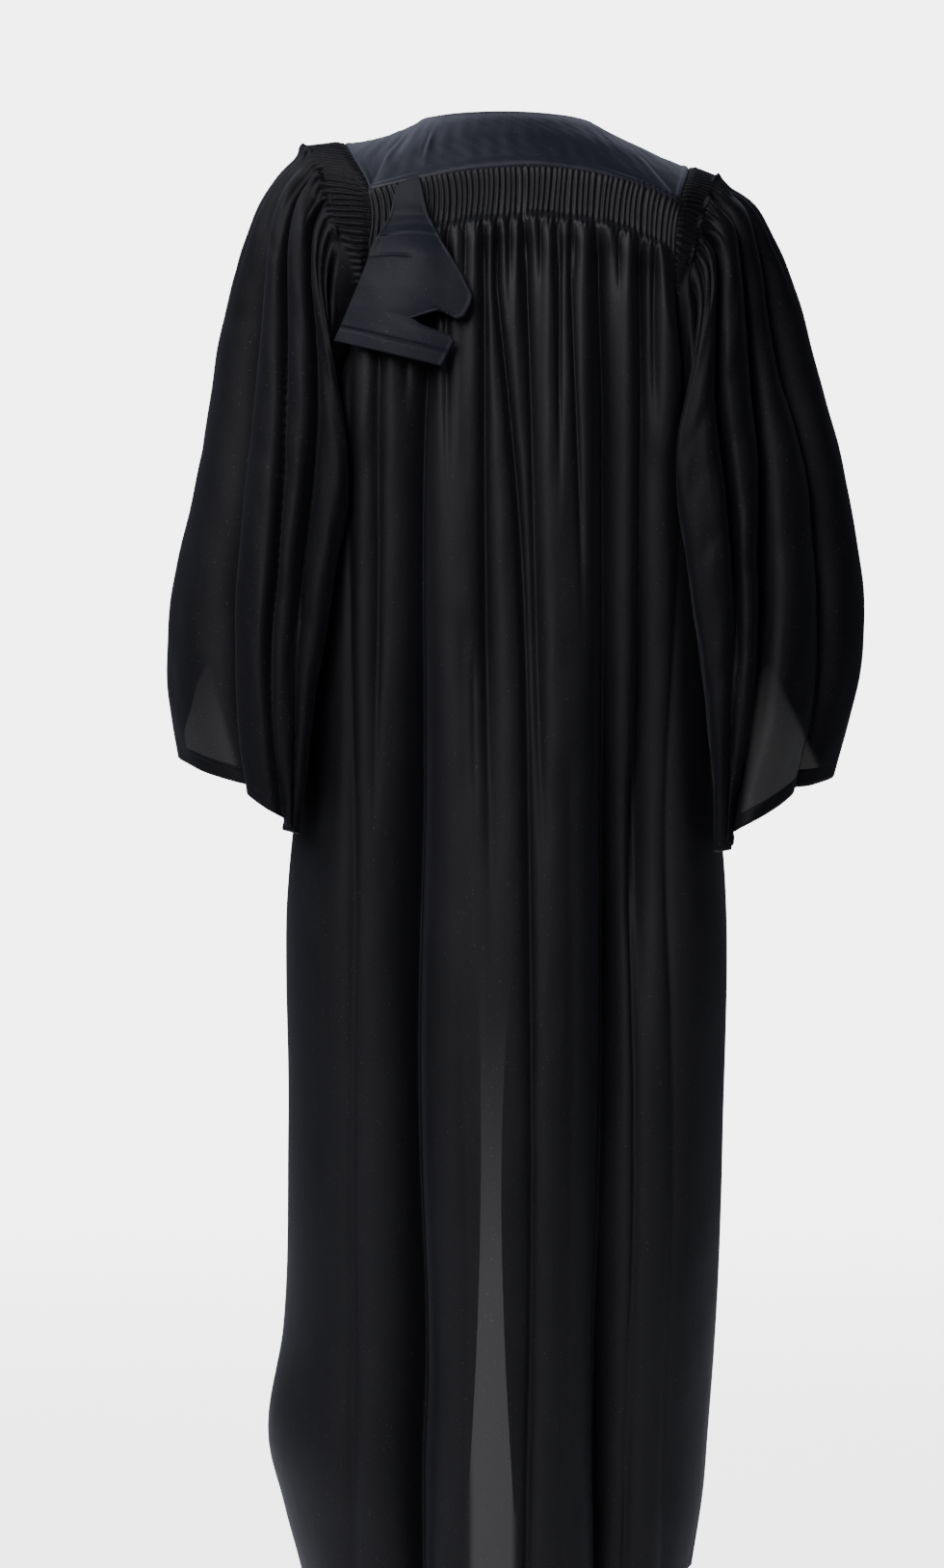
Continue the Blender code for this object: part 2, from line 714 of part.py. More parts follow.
def yoke_outer_edge(along):
    """The yoke's outer edge: over the left shoulder, along the back seam, over the right."""
    end = YOKE_SHOULDER_END
    span = YOKE_TURNS[-1] - YOKE_TURNS[0]
    left = armhole(LEFT_ARMHOLE, YOKE_TURNS[0] + span * np.clip(along / end, 0, 1))
    right = armhole(RIGHT_ARMHOLE, YOKE_TURNS[0] + span * np.clip((1 - along) / end, 0, 1))
    shared = even_columns(back_base, 0.0, YOKE_BACK_COLUMNS)
    even = np.linspace(0, 1, YOKE_BACK_COLUMNS + 1)
    across = np.interp(np.clip((along - end) / (1 - 2 * end), 0, 1), even, shared)
    back = back_seam(across)
    edge = np.where((along < end)[..., None], left, back)
    return np.where((along > 1 - end)[..., None], right, edge)


def yoke_base(along, outward):
    """The yoke: straight from its neck edge to its outer edge, crowned a little between."""
    along, outward = np.broadcast_arrays(along, outward)
    keys = column(NECK_EDGE, "along")
    neck = points(*(smooth(keys, column(NECK_EDGE, axis), along) for axis in "xyz"))
    edge = yoke_outer_edge(along)
    place = neck + (edge - neck) * outward[..., None]
    crown = YOKE_CROWN * 4 * outward * (1 - outward)
    return place + seam_out(place) * crown[..., None]


def make_yoke(material):
    """The yoke: one smooth doubled piece over both shoulders and the nape."""
    end = YOKE_SHOULDER_END
    span = YOKE_TURNS[-1] - YOKE_TURNS[0]
    left = [(t - YOKE_TURNS[0]) / span * end for t in YOKE_TURNS]
    back = list(np.linspace(end, 1 - end, YOKE_BACK_COLUMNS + 1)[1:-1])
    along = np.array(left + back + [1 - a for a in reversed(left)])
    wall = Wall(tube=False)
    for outward in np.linspace(0, 1, YOKE_ROW_COUNT + 1):
        row = yoke_base(along, np.full(len(along), outward))
        out = seam_out(row)
        wall.add_row(row, along, row - out * YOKE_CLOTH, along)
    return add_object("yoke", wall.vertices, wall.faces(), material)


# The sleeves


def sleeve_base(left_side):
    """Returns the smooth sleeve: across runs round it from the underarm by the front, the
    shoulder and the back, and down runs from the armhole to the hem."""
    table = LEFT_ARMHOLE if left_side else RIGHT_ARMHOLE
    rings = LEFT_RINGS if left_side else RIGHT_RINGS
    keys = np.linspace(0, 1, len(rings) + 1)[1:]

    def ring(across, down):
        value = {name: smooth(keys, column(rings, name), down) for name in rings[0]._fields}
        angle = 2 * np.pi * (across - 0.5)
        swing = power(np.cos(angle), 2 / RING_SQUARE)
        side = power(np.sin(angle), 2 / RING_SQUARE)
        mid_x = (value["outer_x"] + value["inner_x"]) / 2
        mid_z = (value["outer_z"] + value["inner_z"]) / 2
        mid_y = (value["back"] + value["front"]) / 2
        sign = 1 if left_side else -1
        return points(
            mid_x
            + (value["outer_x"] - mid_x) * swing
            - sign * value["wrap"] * side**2,
            mid_y + (value["back"] - mid_y) * side,
            mid_z
            + (value["outer_z"] - mid_z) * swing
            - value["drop"] * np.maximum(side, 0) ** 2
            + value["lift"] * np.maximum(-side, 0) ** 2,
        )

    def base(across, down):
        across, down = np.broadcast_arrays(across, down)
        head = armhole(table, across - 0.5)
        first = ring(across, np.maximum(down, keys[0]))
        share = np.clip(down / keys[0], 0, 1)[..., None]
        return head + (first - head) * share

    return base


def tangents(ring_points):
    """Directions along a closed ring whose last point is its first."""
    around = np.concatenate([ring_points[-2:-1], ring_points, ring_points[1:2]])
    return unit(around[2:] - around[:-2])


def sleeve_rows(first_key):
    """Places down a sleeve: three across its gauged head, then even steps to the hem."""
    gauge = list(np.linspace(0, first_key, GAUGE_ROWS))
    even = np.linspace(0, 1, RING_ROWS)[1:]
    return gauge + [first_key * 1.1] + list(first_key + (1 - first_key) * even**1.25)


def head_columns():
    """Places round the gauged head: two for each rib, and plain ones at the underarm."""
    front = np.linspace(0, GAUGE_FROM, 9)[:-1]
    gauged = np.linspace(GAUGE_FROM, GAUGE_TO, 2 * SLEEVE_RIBS + 1)
    back = np.linspace(GAUGE_TO, 1, 9)[1:]
    return np.concatenate([front, gauged, back])


def sleeve_row(base, facing, down, first_key, at):
    """Outer and inner points of one row of a sleeve, and its outward normals."""
    row = base(at, np.full(len(at), down))
    normals = surface_normals(base, at, np.full(len(at), down), facing)
    if down == 0:
        ahead = base(at, np.full(len(at), first_key)) - row
        normals = facing * unit(np.cross(tangents(row), ahead))
    normals[-1] = normals[0] = unit(normals[0] + normals[-1])
    fade = step_up(down, first_key, first_key + 0.12)
    depth = valley_depth(SLEEVE_VALLEYS, at, np.full(len(at), down), fade)
    outer, inner = cloth_pair(row, normals, depth, run_length(row), CLOTH)
    if down == 0:
        low = step_up(np.abs(at - 0.5), 0.15, 0.35)[:, None]
        shift = unit(ahead) * SLEEVE_GAP + body_out(row) * UNDERARM_GAP * low
        outer = outer + shift
        inner = inner + shift
    return outer, inner, normals


def make_sleeve(left_side, material):
    """A bell sleeve: gauged at its head, folded lengthwise, open at the hem."""
    base = sleeve_base(left_side)
    facing = -1 if left_side else 1
    first_key = 1 / len(LEFT_RINGS)
    wall = Wall(tube=True)

    def round_share(row, at):
        return at

    for number, down in enumerate(sleeve_rows(first_key)):
        plain_at = fold_columns(base, down, round_share, SLEEVE_VALLEYS, SLEEVE_EDGE_COLUMNS)
        gauged = number < GAUGE_ROWS
        outer_at = head_columns() if gauged else plain_at
        outer, _, normals = sleeve_row(base, facing, down, first_key, outer_at)
        _, inner, _ = sleeve_row(base, facing, down, first_key, plain_at)
        if gauged:
            within = (outer_at >= GAUGE_FROM) & (outer_at <= GAUGE_TO)
            raised = ribs(outer_at, SLEEVE_RIBS, GAUGE_FROM, GAUGE_TO) * within
            raised = raised * (TUCKED if number == 0 else 1)
            outer = outer + normals * (RIB_HEIGHT * raised)[:, None]
        wall.add_row(outer, outer_at, inner, plain_at)
    name = "sleeve_left" if left_side else "sleeve_right"
    return add_object(name, wall.vertices, wall.faces(), material)


# The hood piece


def back_depth_at(x, z):
    """How far behind the origin the smooth back lies, at a place seen from behind."""
    across = np.linspace(0.01, 0.99, 200)
    down = np.linspace(0.0, 0.35, 90)
    grid = back_base(across[:, None], down[None, :]).reshape(-1, 3)
    near = (grid[None, :, 0] - x[:, None]) ** 2 + (grid[None, :, 2] - z[:, None]) ** 2
    return grid[np.argmin(near, axis=1), 1]


def make_hood(material):
    """The hood piece: a flat doubled flap, notched at its inner side, hemmed at its foot."""
    wall = Wall(tube=False)
    at = np.linspace(0, 1, HOOD_COLUMNS + 1)
    foot = HOOD_ROWS[-1].down
    for row in HOOD_ROWS:
        x = row.outer + (row.inner - row.outer) * at
        slant = HOOD_SLANT * (1 - (1 - row.down / foot) ** 2)
        z = HOOD_TOP_Z - row.down - slant * (HOOD_ROWS[0].outer - x)
        seam = back_seam(np.linspace(0, 1, 60))
        to_seam = np.interp(-x, -seam[:, 0], seam[:, 2]) - HOOD_GAP - HOOD_TOP_Z
        z = z + to_seam * (1 - step_up(row.down, 0.0, 0.045))
        off = HOOD_CLOTH + RIB_HEIGHT + HOOD_GAP + HOOD_STANDS_OFF * step_up(row.down, 0.0, 0.06)
        y = smooth(np.linspace(0, 1, 3), back_depth_at(x, z)[[0, HOOD_COLUMNS // 2, -1]], at) + off
        outer = points(x, y, z)
        inner = outer - np.array([0.0, HOOD_CLOTH, 0.0])
        wall.add_row(outer, at, inner, at)
    return add_object("hood_piece", wall.vertices, wall.faces(), material)


def main():
    for thing in list(bpy.data.objects):
        bpy.data.objects.remove(thing, do_unlink=True)
    cloth = cloth_material("gown_cloth", BLACK_CLOTH, 0.55)
    yoke_cloth = cloth_material("yoke_cloth", YOKE_BLACK, 0.5)
    make_yoke(yoke_cloth)
    make_back(cloth)
    for left_side in (True, False):
        make_front(left_side, cloth)
        make_sleeve(left_side, cloth)
    make_hood(yoke_cloth)


main()
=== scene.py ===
"""Dresses an advocate's gown in its cloth: black satin, gauged at the yoke and the sleeve heads.

Metres, +Z up. The back of the gown faces +Y, the front opening faces -Y, and its left side, as
it is worn, is +X. Every piece follows the solid that it stands for, with finer gauging, folds
and hems.
"""

import math
from collections import namedtuple

import bpy
import numpy as np
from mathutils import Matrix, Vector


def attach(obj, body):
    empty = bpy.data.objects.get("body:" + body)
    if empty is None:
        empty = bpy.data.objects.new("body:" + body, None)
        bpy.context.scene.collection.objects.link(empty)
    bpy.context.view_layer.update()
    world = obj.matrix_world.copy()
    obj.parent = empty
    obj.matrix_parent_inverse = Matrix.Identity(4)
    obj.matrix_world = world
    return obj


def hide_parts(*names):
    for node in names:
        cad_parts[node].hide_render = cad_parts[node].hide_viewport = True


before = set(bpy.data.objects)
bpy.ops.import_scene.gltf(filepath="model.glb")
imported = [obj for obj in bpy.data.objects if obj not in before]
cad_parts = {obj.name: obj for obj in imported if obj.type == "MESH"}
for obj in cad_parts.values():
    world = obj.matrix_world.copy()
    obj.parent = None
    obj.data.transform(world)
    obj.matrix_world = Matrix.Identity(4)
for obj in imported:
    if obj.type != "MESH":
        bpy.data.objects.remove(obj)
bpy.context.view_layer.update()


# The back panel
# One width of thin black satin from the yoke to the hem. Its top edge is drawn up on threads
# into fine upright ribs, and below them the cloth springs out into folds that run to the hem.


def table(kind, *rows):
    """A table: each row of numbers as a tuple whose parts have names."""
    return tuple(kind(*row) for row in rows)


# Both armholes, with turns counted from the top of the shoulder down the back

Armhole = namedtuple("Armhole", "turn left_x right_x y left_z right_z")

ARMHOLES = table(
    Armhole,
    (0.000, 0.159, -0.169, 0.012, -0.009, -0.032),
    (0.065, 0.150, -0.165, 0.063, -0.026, -0.044),
    (0.130, 0.132, -0.155, 0.107, -0.061, -0.072),
    (0.250, 0.138, -0.150, 0.114, -0.150, -0.158),
    (0.360, 0.156, -0.157, 0.089, -0.232, -0.238),
    (0.440, 0.170, -0.166, 0.045, -0.283, -0.288),
    (0.500, 0.176, -0.170, 0.000, -0.300, -0.304),
    (0.560, 0.171, -0.167, -0.045, -0.283, -0.288),
    (0.650, 0.158, -0.159, -0.083, -0.228, -0.234),
    (0.750, 0.149, -0.156, -0.095, -0.155, -0.165),
    (0.850, 0.150, -0.160, -0.085, -0.075, -0.092),
    (0.925, 0.158, -0.168, -0.040, -0.025, -0.048),
)

# The body's half widths below the arms, and the shape of each row of the back: the heights of
# its ends and middle, how deep it is, and how square

BodySection = namedtuple("BodySection", "z left right")

HEM = -1.386
BODY_SECTIONS = table(
    BodySection,
    (-0.300, 0.176, -0.170),
    (-0.450, 0.192, -0.187),
    (-0.600, 0.203, -0.197),
    (-0.700, 0.214, -0.207),
    (-0.950, 0.216, -0.207),
    (-1.150, 0.222, -0.201),
    (-1.255, 0.236, -0.194),
    (-1.310, 0.224, -0.190),
    (HEM, 0.205, -0.179),
)

BackRow = namedtuple("BackRow", "edge middle depth square")

BACK_ROWS = table(
    BackRow,
    (-0.061, -0.061, 0.114, 4.0),
    (-0.108, -0.108, 0.121, 5.0),
    (-0.190, -0.195, 0.132, 5.0),
    (-0.300, -0.315, 0.141, 4.2),
    (-0.450, -0.470, 0.148, 3.4),
    (-0.700, -0.710, 0.156, 2.8),
    (-1.050, -1.050, 0.166, 2.5),
    (HEM, HEM - 0.008, 0.176, 2.4),
)

# The back's flat size, the turns of the armholes that it follows and the share of the way down
# that they take, and how far the middle of its top seam arches up

BACK_FLAT = (0.74, 1.37)
BACK_TURNS = (0.130, 0.500)
ARMHOLE_SHARE = 0.26
SEAM_ARCH = 0.0265

# The back's rows, as spans of the way down with a number of rows in each

BACK_SPANS = ((0, 0.06, 30), (0.06, 0.26, 44), (0.26, 0.98, 74), (0.98, 1.0, 8))

# What is turned under: seam allowance at the sides, the allowance at the top with its shift and
# its place down the panel, the hem at the foot, and how far one layer lies behind another

ALLOWANCE = 0.007
BACK_TUCK = (0.0, -0.0042, 0.006)
TUCK_PLACE = -0.006
HEM_TURN = 0.022
LAYER = 0.0009

# The gauging: its ribs, the columns of the mesh for each, how high they stand, how narrow they
# are, how far the gauged cloth sinks in, where it ends as a share of the way down, how far the
# cloth springs out below it, and how uneven it is there

BACK_RIBS = 57
RIB_COLUMNS = 6
RIB_HEIGHT = 0.0023
RIB_SHARP = 1.2
GAUGE_SINKS = 0.0006
BACK_FOOT = 0.0345
SPRING = 0.0075
BACK_RIPPLE = 0.0010

# A fold is a valley down the cloth. Its places across, half widths and depths are given at the
# levels that are listed for as many values, and it is there from one level to another. A fold
# that leans above zero has its steep side towards greater places. Places and half widths are
# metres here, from the centre back, and on a front, where they count outwards from the middle.

FOLD_LEVELS = {2: (0.08, 0.50), 3: (0.08, 0.40, 1.00), 4: (0.08, 0.22, 0.45, 1.00)}

# How far a fold's line wavers, in half widths, how much its depth varies, how fast it gets
# shallow beside its line, and the share of its depth that is cut off

FOLD_WAVE = 0.10
FOLD_UNEVEN = 0.12
FOLD_SHARP = 0.8
FOLD_CUT = 0.07

Fold = namedtuple("Fold", "places widths depths begins ends lean")

BACK_FOLDS = table(
    Fold,
    ((0.0735, 0.0830, 0.0925, 0.0950), (0.007, 0.026), (0.014, 0.048, 0.054), 0.037, 2.0, -0.30),
    ((0.0610, 0.0600, 0.0590), (0.004, 0.004), (0.005, 0.004), 0.037, 0.24, 0.0),
    ((0.0260, 0.0225, 0.0165), (0.005, 0.014), (0.008, 0.016), 0.037, 0.56, 0.0),
    ((0.0142, -0.0040, -0.0157, -0.0148), (0.004, 0.009), (0.009, 0.012, 0.009), 0.037, 2.0, 0.2),
    ((-0.0130, -0.0267, -0.0445), (0.006, 0.011), (0.009, 0.012), 0.037, 0.54, 0.0),
    ((-0.0429, -0.0440, -0.0450), (0.004, 0.004), (0.006, 0.003), 0.037, 0.24, 0.0),
    ((-0.0540, -0.0685, -0.0700), (0.005, 0.004), (0.007, 0.003), 0.037, 0.34, 0.0),
    ((-0.0787, -0.0870, -0.0930, -0.0966), (0.008, 0.026), (0.015, 0.046, 0.052), 0.037, 2.0, 0.30),
    ((-0.1179, -0.1300, -0.1400), (0.007, 0.022), (0.014, 0.036), 0.037, 0.66, 0.30),
    ((-0.1245, -0.1247, -0.1250), (0.004, 0.006), (0.003, 0.007), 0.40, 2.0, 0.0),
    ((0.0960, 0.1000, 0.1040), (0.005, 0.005), (0.006, 0.003), 0.037, 0.18, 0.0),
    ((0.1210, 0.1320, 0.1380), (0.006, 0.009), (0.009, 0.014), 0.045, 0.48, 0.0),
    ((0.0400, 0.0350, 0.0300), (0.004, 0.004), (0.003, 0.003), 0.33, 0.50, 0.3),
    ((-0.1300, -0.1420, -0.1480), (0.005, 0.006), (0.008, 0.003), 0.037, 0.20, 0.0),
    ((-0.1530, -0.1580, -0.1580, -0.1560), (0.006, 0.008), (0.004, 0.005), 0.06, 2.0, 0.0),
    ((0.1450, 0.1500, 0.1540, 0.1560), (0.006, 0.009), (0.004, 0.006), 0.10, 2.0, 0.0),
    ((0.0500, 0.0480, 0.0440, 0.0420), (0.020, 0.026), (0.000, 0.004, 0.005), 0.30, 2.0, 0.0),
    ((-0.0560, -0.0560, -0.0560), (0.014, 0.020), (0.000, 0.004, 0.004), 0.40, 2.0, 0.2),
)

# The heads of the folds, where the cloth springs out from under the ribs: place across and
# down, how wide, how far down it fades, and how far out it stands

Head = namedtuple("Head", "place down width length height")

BACK_HEADS = table(
    Head,
    (0.109, 0.0338, 0.0084, 0.058, 0.0068),
    (0.086, 0.0340, 0.0084, 0.058, 0.0062),
    (0.067, 0.0340, 0.0072, 0.049, 0.0059),
    (0.052, 0.0340, 0.0072, 0.058, 0.0062),
    (0.034, 0.0330, 0.0096, 0.078, 0.0086),
    (0.0195, 0.0338, 0.0060, 0.051, 0.0059),
    (0.0085, 0.0338, 0.0048, 0.043, 0.0054),
    (-0.0035, 0.0338, 0.0048, 0.043, 0.0054),
    (-0.018, 0.0323, 0.0060, 0.058, 0.0068),
    (-0.033, 0.0320, 0.0096, 0.088, 0.0095),
    (-0.048, 0.0335, 0.0060, 0.051, 0.0057),
    (-0.065, 0.0330, 0.0108, 0.068, 0.0081),
    (-0.088, 0.0328, 0.0084, 0.058, 0.0076),
    (-0.106, 0.0330, 0.0096, 0.078, 0.0089),
    (-0.124, 0.0340, 0.0048, 0.043, 0.0059),
    (-0.139, 0.0340, 0.0096, 0.068, 0.0081),
)

# Between two heads the cloth is pinched into a short deep groove: half width, depth and end

PINCH_WIDTH = 0.0020
PINCH_DEPTH = 0.0050
PINCH_ENDS = 0.085


def column(rows, name):
    """One named column of a table, as an array."""
    return np.array([getattr(row, name) for row in rows], float)


def smooth(keys, values, at):
    """A cubic curve through (key, value) pairs: between two keys it is the cubic that has both
    values and both slopes, and a key's slope comes from its two neighbours."""
    keys = np.asarray(keys, float)
    values = np.asarray(values, float)
    at = np.clip(np.asarray(at, float), keys[0], keys[-1])
    slopes = np.gradient(values, keys)
    i = np.clip(np.searchsorted(keys, at, side="right") - 1, 0, len(keys) - 2)
    step = keys[i + 1] - keys[i]
    t = (at - keys[i]) / step
    return (
        values[i] * (1 + 2 * t) * (1 - t) ** 2
        + slopes[i] * step * t * (1 - t) ** 2
        + values[i + 1] * t * t * (3 - 2 * t)
        - slopes[i + 1] * step * t * t * (1 - t)
    )


def read_rows(rows, at, *names):
    """Smooth curves through the named columns of a panel's rows, at heights counted down from
    the origin, where each row is known by its edge's height."""
    keys = -column(rows, "edge")
    return [smooth(keys, column(rows, name), at) for name in names]


def points(x, y, z):
    """Points from their three coordinates, which are broadcast together."""
    return np.stack(np.broadcast_arrays(x, y, z), axis=-1).astype(float)


def unit(vectors):
    """Vectors over their lengths."""
    return vectors / np.maximum(np.linalg.norm(vectors, axis=-1, keepdims=True), 1e-12)


def power(value, exponent):
    """A power of a value's size, with the value's own sign."""
    return np.sign(value) * np.abs(value) ** exponent


def rise(value, start, end):
    """0 before start, 1 after end, and 3t^2 - 2t^3 between them."""
    t = np.clip((value - start) / (end - start), 0, 1)
    return t * t * (3 - 2 * t)


def armhole(left_side, turn):
    """A closed armhole: a smooth curve through its table, with turn counted from the top of
    the shoulder down the back, under the arm at a half, and up the front to one."""
    turns = column(ARMHOLES, "turn")
    keys = np.concatenate([turns - 1, turns, turns + 1])
    side = "left" if left_side else "right"
    axes = (side + "_x", "y", side + "_z")
    turn = np.mod(turn, 1.0)
    return points(*(smooth(keys, np.tile(column(ARMHOLES, axis), 3), turn) for axis in axes))


def row_edge(left_side, turns, down):
    """Where a row of the body ends: on the armhole down to the underarm, for the first share
    of the way down, and then on the side seam, which follows the body's sections."""
    down = np.asarray(down, float)
    turn = turns[0] + (turns[1] - turns[0]) * np.clip(down / ARMHOLE_SHARE, 0, 1)
    upper = armhole(left_side, turn)
    underarm = armhole(left_side, np.array(0.5))
    fall = np.clip((down - ARMHOLE_SHARE) / (1 - ARMHOLE_SHARE), 0, 1)
    z = underarm[2] + (HEM - underarm[2]) * fall
    side = column(BODY_SECTIONS, "left" if left_side else "right")
    lower = points(smooth(-column(BODY_SECTIONS, "z"), side, -z), 0.0, z)
    return np.where((down <= ARMHOLE_SHARE)[..., None], upper, lower)


def back_base(across, down):
    """The smooth back. Seen from above, each row is a rounded box's outline from its left edge
    to its right one: x goes with a power of the cosine and y with the same power of the sine."""
    across, down = np.broadcast_arrays(across, down)
    left = row_edge(True, BACK_TURNS, down)
    right = row_edge(False, BACK_TURNS, down)
    edge = -(left[..., 2] + right[..., 2]) / 2
    middle, depth, square = read_rows(BACK_ROWS, edge, "middle", "depth", "square")
    swing = power(np.cos(np.pi * across), 2 / square)
    bulge = np.maximum(np.sin(np.pi * across), 0) ** (2 / square)
    share = (1 - swing) / 2
    arch = SEAM_ARCH * 4 * share * (1 - share) * (1 + 0.25 * (2 * share - 1))
    z = left[..., 2] + (right[..., 2] - left[..., 2]) * share
    z = z + (middle + edge) * bulge + arch * (1 - rise(down, 0.04, 0.30))
    y = (left[..., 1] + right[..., 1]) / 2
    x = left[..., 0] + (right[..., 0] - left[..., 0]) * share
    return points(x, y + (depth - y) * bulge, z)


def distance_along(grid, axis):
    """Distance along the rows or columns of a grid of points, as sums of its steps."""
    steps = np.linalg.norm(np.diff(grid, axis=axis), axis=-1)
    start = np.zeros_like(np.take(steps, [0], axis=axis))
    return np.concatenate([start, np.cumsum(steps, axis=axis)], axis=axis)


def even_rows(base, shares, down, fine=600):
    """The grid base(across, down) whose columns lie at the given shares of each row's length.
    The places where the lengths are measured are first spread evenly along a middle row."""
    at = np.linspace(0, 1, fine)
    for _ in range(5):
        row = base(at, np.full(fine, np.median(down)))
        length = np.concatenate([[0], np.cumsum(np.linalg.norm(np.diff(row, axis=0), axis=-1))])
        at = np.interp(np.linspace(0, 1, fine), length / length[-1], at)
    rows = base(at[None, :], down[:, None])
    length = distance_along(rows, 1)
    length = length / length[:, -1:]
    across = np.array([np.interp(shares, row, at) for row in length])
    return base(across, down[:, None])


def outward(grid, facing):
    """Outward normals of a grid of points: the cross product of its slopes across and down."""
    return facing * unit(np.cross(np.gradient(grid, axis=1), np.gradient(grid, axis=0)))


def at_levels(values, level):
    """A smooth curve through a fold's values at the levels that they are given at."""
    return smooth(FOLD_LEVELS[len(values)], values, level)


def fold_depth(folds, place, level):
    """How far in the cloth lies for a table of folds: across each, the fold's depth over
    (1 + t)^2, with t the distance from its line over its half width, rounded off at the line
    and cut off where little is left of it, so that a valley is narrow and dark and the cloth
    between two of them is broad and round. Lines and depths waver a little on the way down."""
    total = np.zeros(np.broadcast(place, level).shape)
    for number, fold in enumerate(folds):
        width = at_levels(fold.widths, level)
        centre = at_levels(fold.places, level)
        centre = centre + FOLD_WAVE * width * np.sin(13 * level + 2.4 * number)
        deep = at_levels(fold.depths, level) * (1 + FOLD_UNEVEN * np.sin(17 * level + 1.7 * number))
        deep = deep * rise(level, fold.begins - 0.006, fold.begins + 0.020)
        deep = deep * (1 - rise(level, 0.55 * fold.ends, fold.ends))
        off = (place - centre) / width
        off = off * (1 + fold.lean * np.tanh(2 * off))
        shape = (1 + FOLD_SHARP * (np.sqrt(off**2 + 0.04) - 0.2)) ** -2.0
        total += deep * np.maximum(shape - FOLD_CUT, 0) / (1 - FOLD_CUT)
    return total


def head_height(heads, place, down):
    """How far out the fold heads stand: a bell curve across each, a quick rise and slow fall."""
    total = np.zeros(np.broadcast(place, down).shape)
    for head in heads:
        past = down - head.down
        fall = np.exp(-np.maximum(past, 0) / head.length) * rise(past, -0.004, 0.003)
        total += head.height * np.exp(-(((place - head.place) / head.width) ** 2)) * fall
    return total


def pinches(heads):
    """Short folds halfway between each head and the next, beginning a little above them."""
    found = []
    for one, other in zip(heads, heads[1:]):
        middle = (one.place + other.place) / 2
        begins = max(one.down, other.down) - 0.001
        depths = (PINCH_DEPTH, 0.4 * PINCH_DEPTH)
        found.append(Fold((middle,) * 3, (PINCH_WIDTH, PINCH_WIDTH), depths, begins, PINCH_ENDS, 0.0))
    return tuple(found)


def ribs(phase, sharp):
    """Rounded ribs with grooves between them: a power of the sine's size, a hump a unit."""
    return np.abs(np.sin(np.pi * phase)) ** sharp


def ripple(across, down, seed):
    """A slow uneven surface, from -1 to 1: a product of sines with a skewed argument."""
    first = np.sin(5.1 * across + 2.3 * down + seed) * np.sin(3.7 * down - 4.9 * across + 2 * seed)
    second = np.sin(12.7 * across - 5.9 * down + 3 * seed) * np.sin(8.3 * down + 1.3 * seed)
    return 0.65 * first + 0.35 * second


def ends_fade(grid, start, full):
    """A factor for a panel's rows: 0 at both ends, smoothly up to 1 at a distance from them."""
    along = distance_along(grid, 1)
    return rise(np.minimum(along, along[:, -1:] - along), start, full)


def rows_down(*spans):
    """Places down a panel, from spans of (start, end, how many)."""
    parts = [np.linspace(start, end, count, endpoint=False) for start, end, count in spans]
    return np.concatenate(parts + [[spans[-1][1]]])


def hemmed(grid, normals, down, turn):
    """Turns the foot of a panel under: its last rows again, a layer further in, upwards. Their
    places down go on beyond 1."""
    length = distance_along(grid, 0)
    back_up = length[-1:] - length
    count = int(np.sum(np.mean(back_up, axis=1) < turn)) - 1
    inner = (grid - LAYER * normals)[-2 : -2 - count : -1]
    return np.concatenate([grid, inner]), np.concatenate([down, 2 - down[-2 : -2 - count : -1]])


def repeated(rows, places):
    """A panel's rows, and those of its turned hem again, for as many rows as it has places."""
    return np.concatenate([rows, rows[-2 : -2 - (len(places) - len(rows)) : -1]])


def with_top(grid, places, row, place):
    """Adds a row of seam allowance above the top one, which the piece above it covers."""
    return np.concatenate([row, grid]), np.concatenate([[place], places])


def height_share(grid):
    """How far down each row lies, by the height of its middle: 0 at the first, 1 at the last."""
    height = grid[:, grid.shape[1] // 2, 2]
    return ((height[0] - height) / (height[0] - height[-1]))[:, None]


def softened(grid, down, reach=0.07, passes=24):
    """Evens out the rows about the underarm, where the side turns from the armhole's curve to
    the straight seam: each row becomes a weighted mean of itself and its neighbours."""
    weight = (1 - rise(np.abs(down - ARMHOLE_SHARE), 0.2 * reach, reach))[1:-1, None, None]
    for _ in range(passes):
        mean = (grid[:-2] + 2 * grid[1:-1] + grid[2:]) / 4
        grid = np.concatenate([grid[:1], grid[1:-1] + weight * (mean - grid[1:-1]), grid[-1:]])
    return grid


UV_STEP = 2.0


def cloth_uv(across, up, steps):
    """A UV map in metres of cloth, from places across it and up it. Each piece lies some steps
    along the map, so that no two share a pattern."""
    return np.stack(np.broadcast_arrays(across + steps * UV_STEP, up), axis=-1)


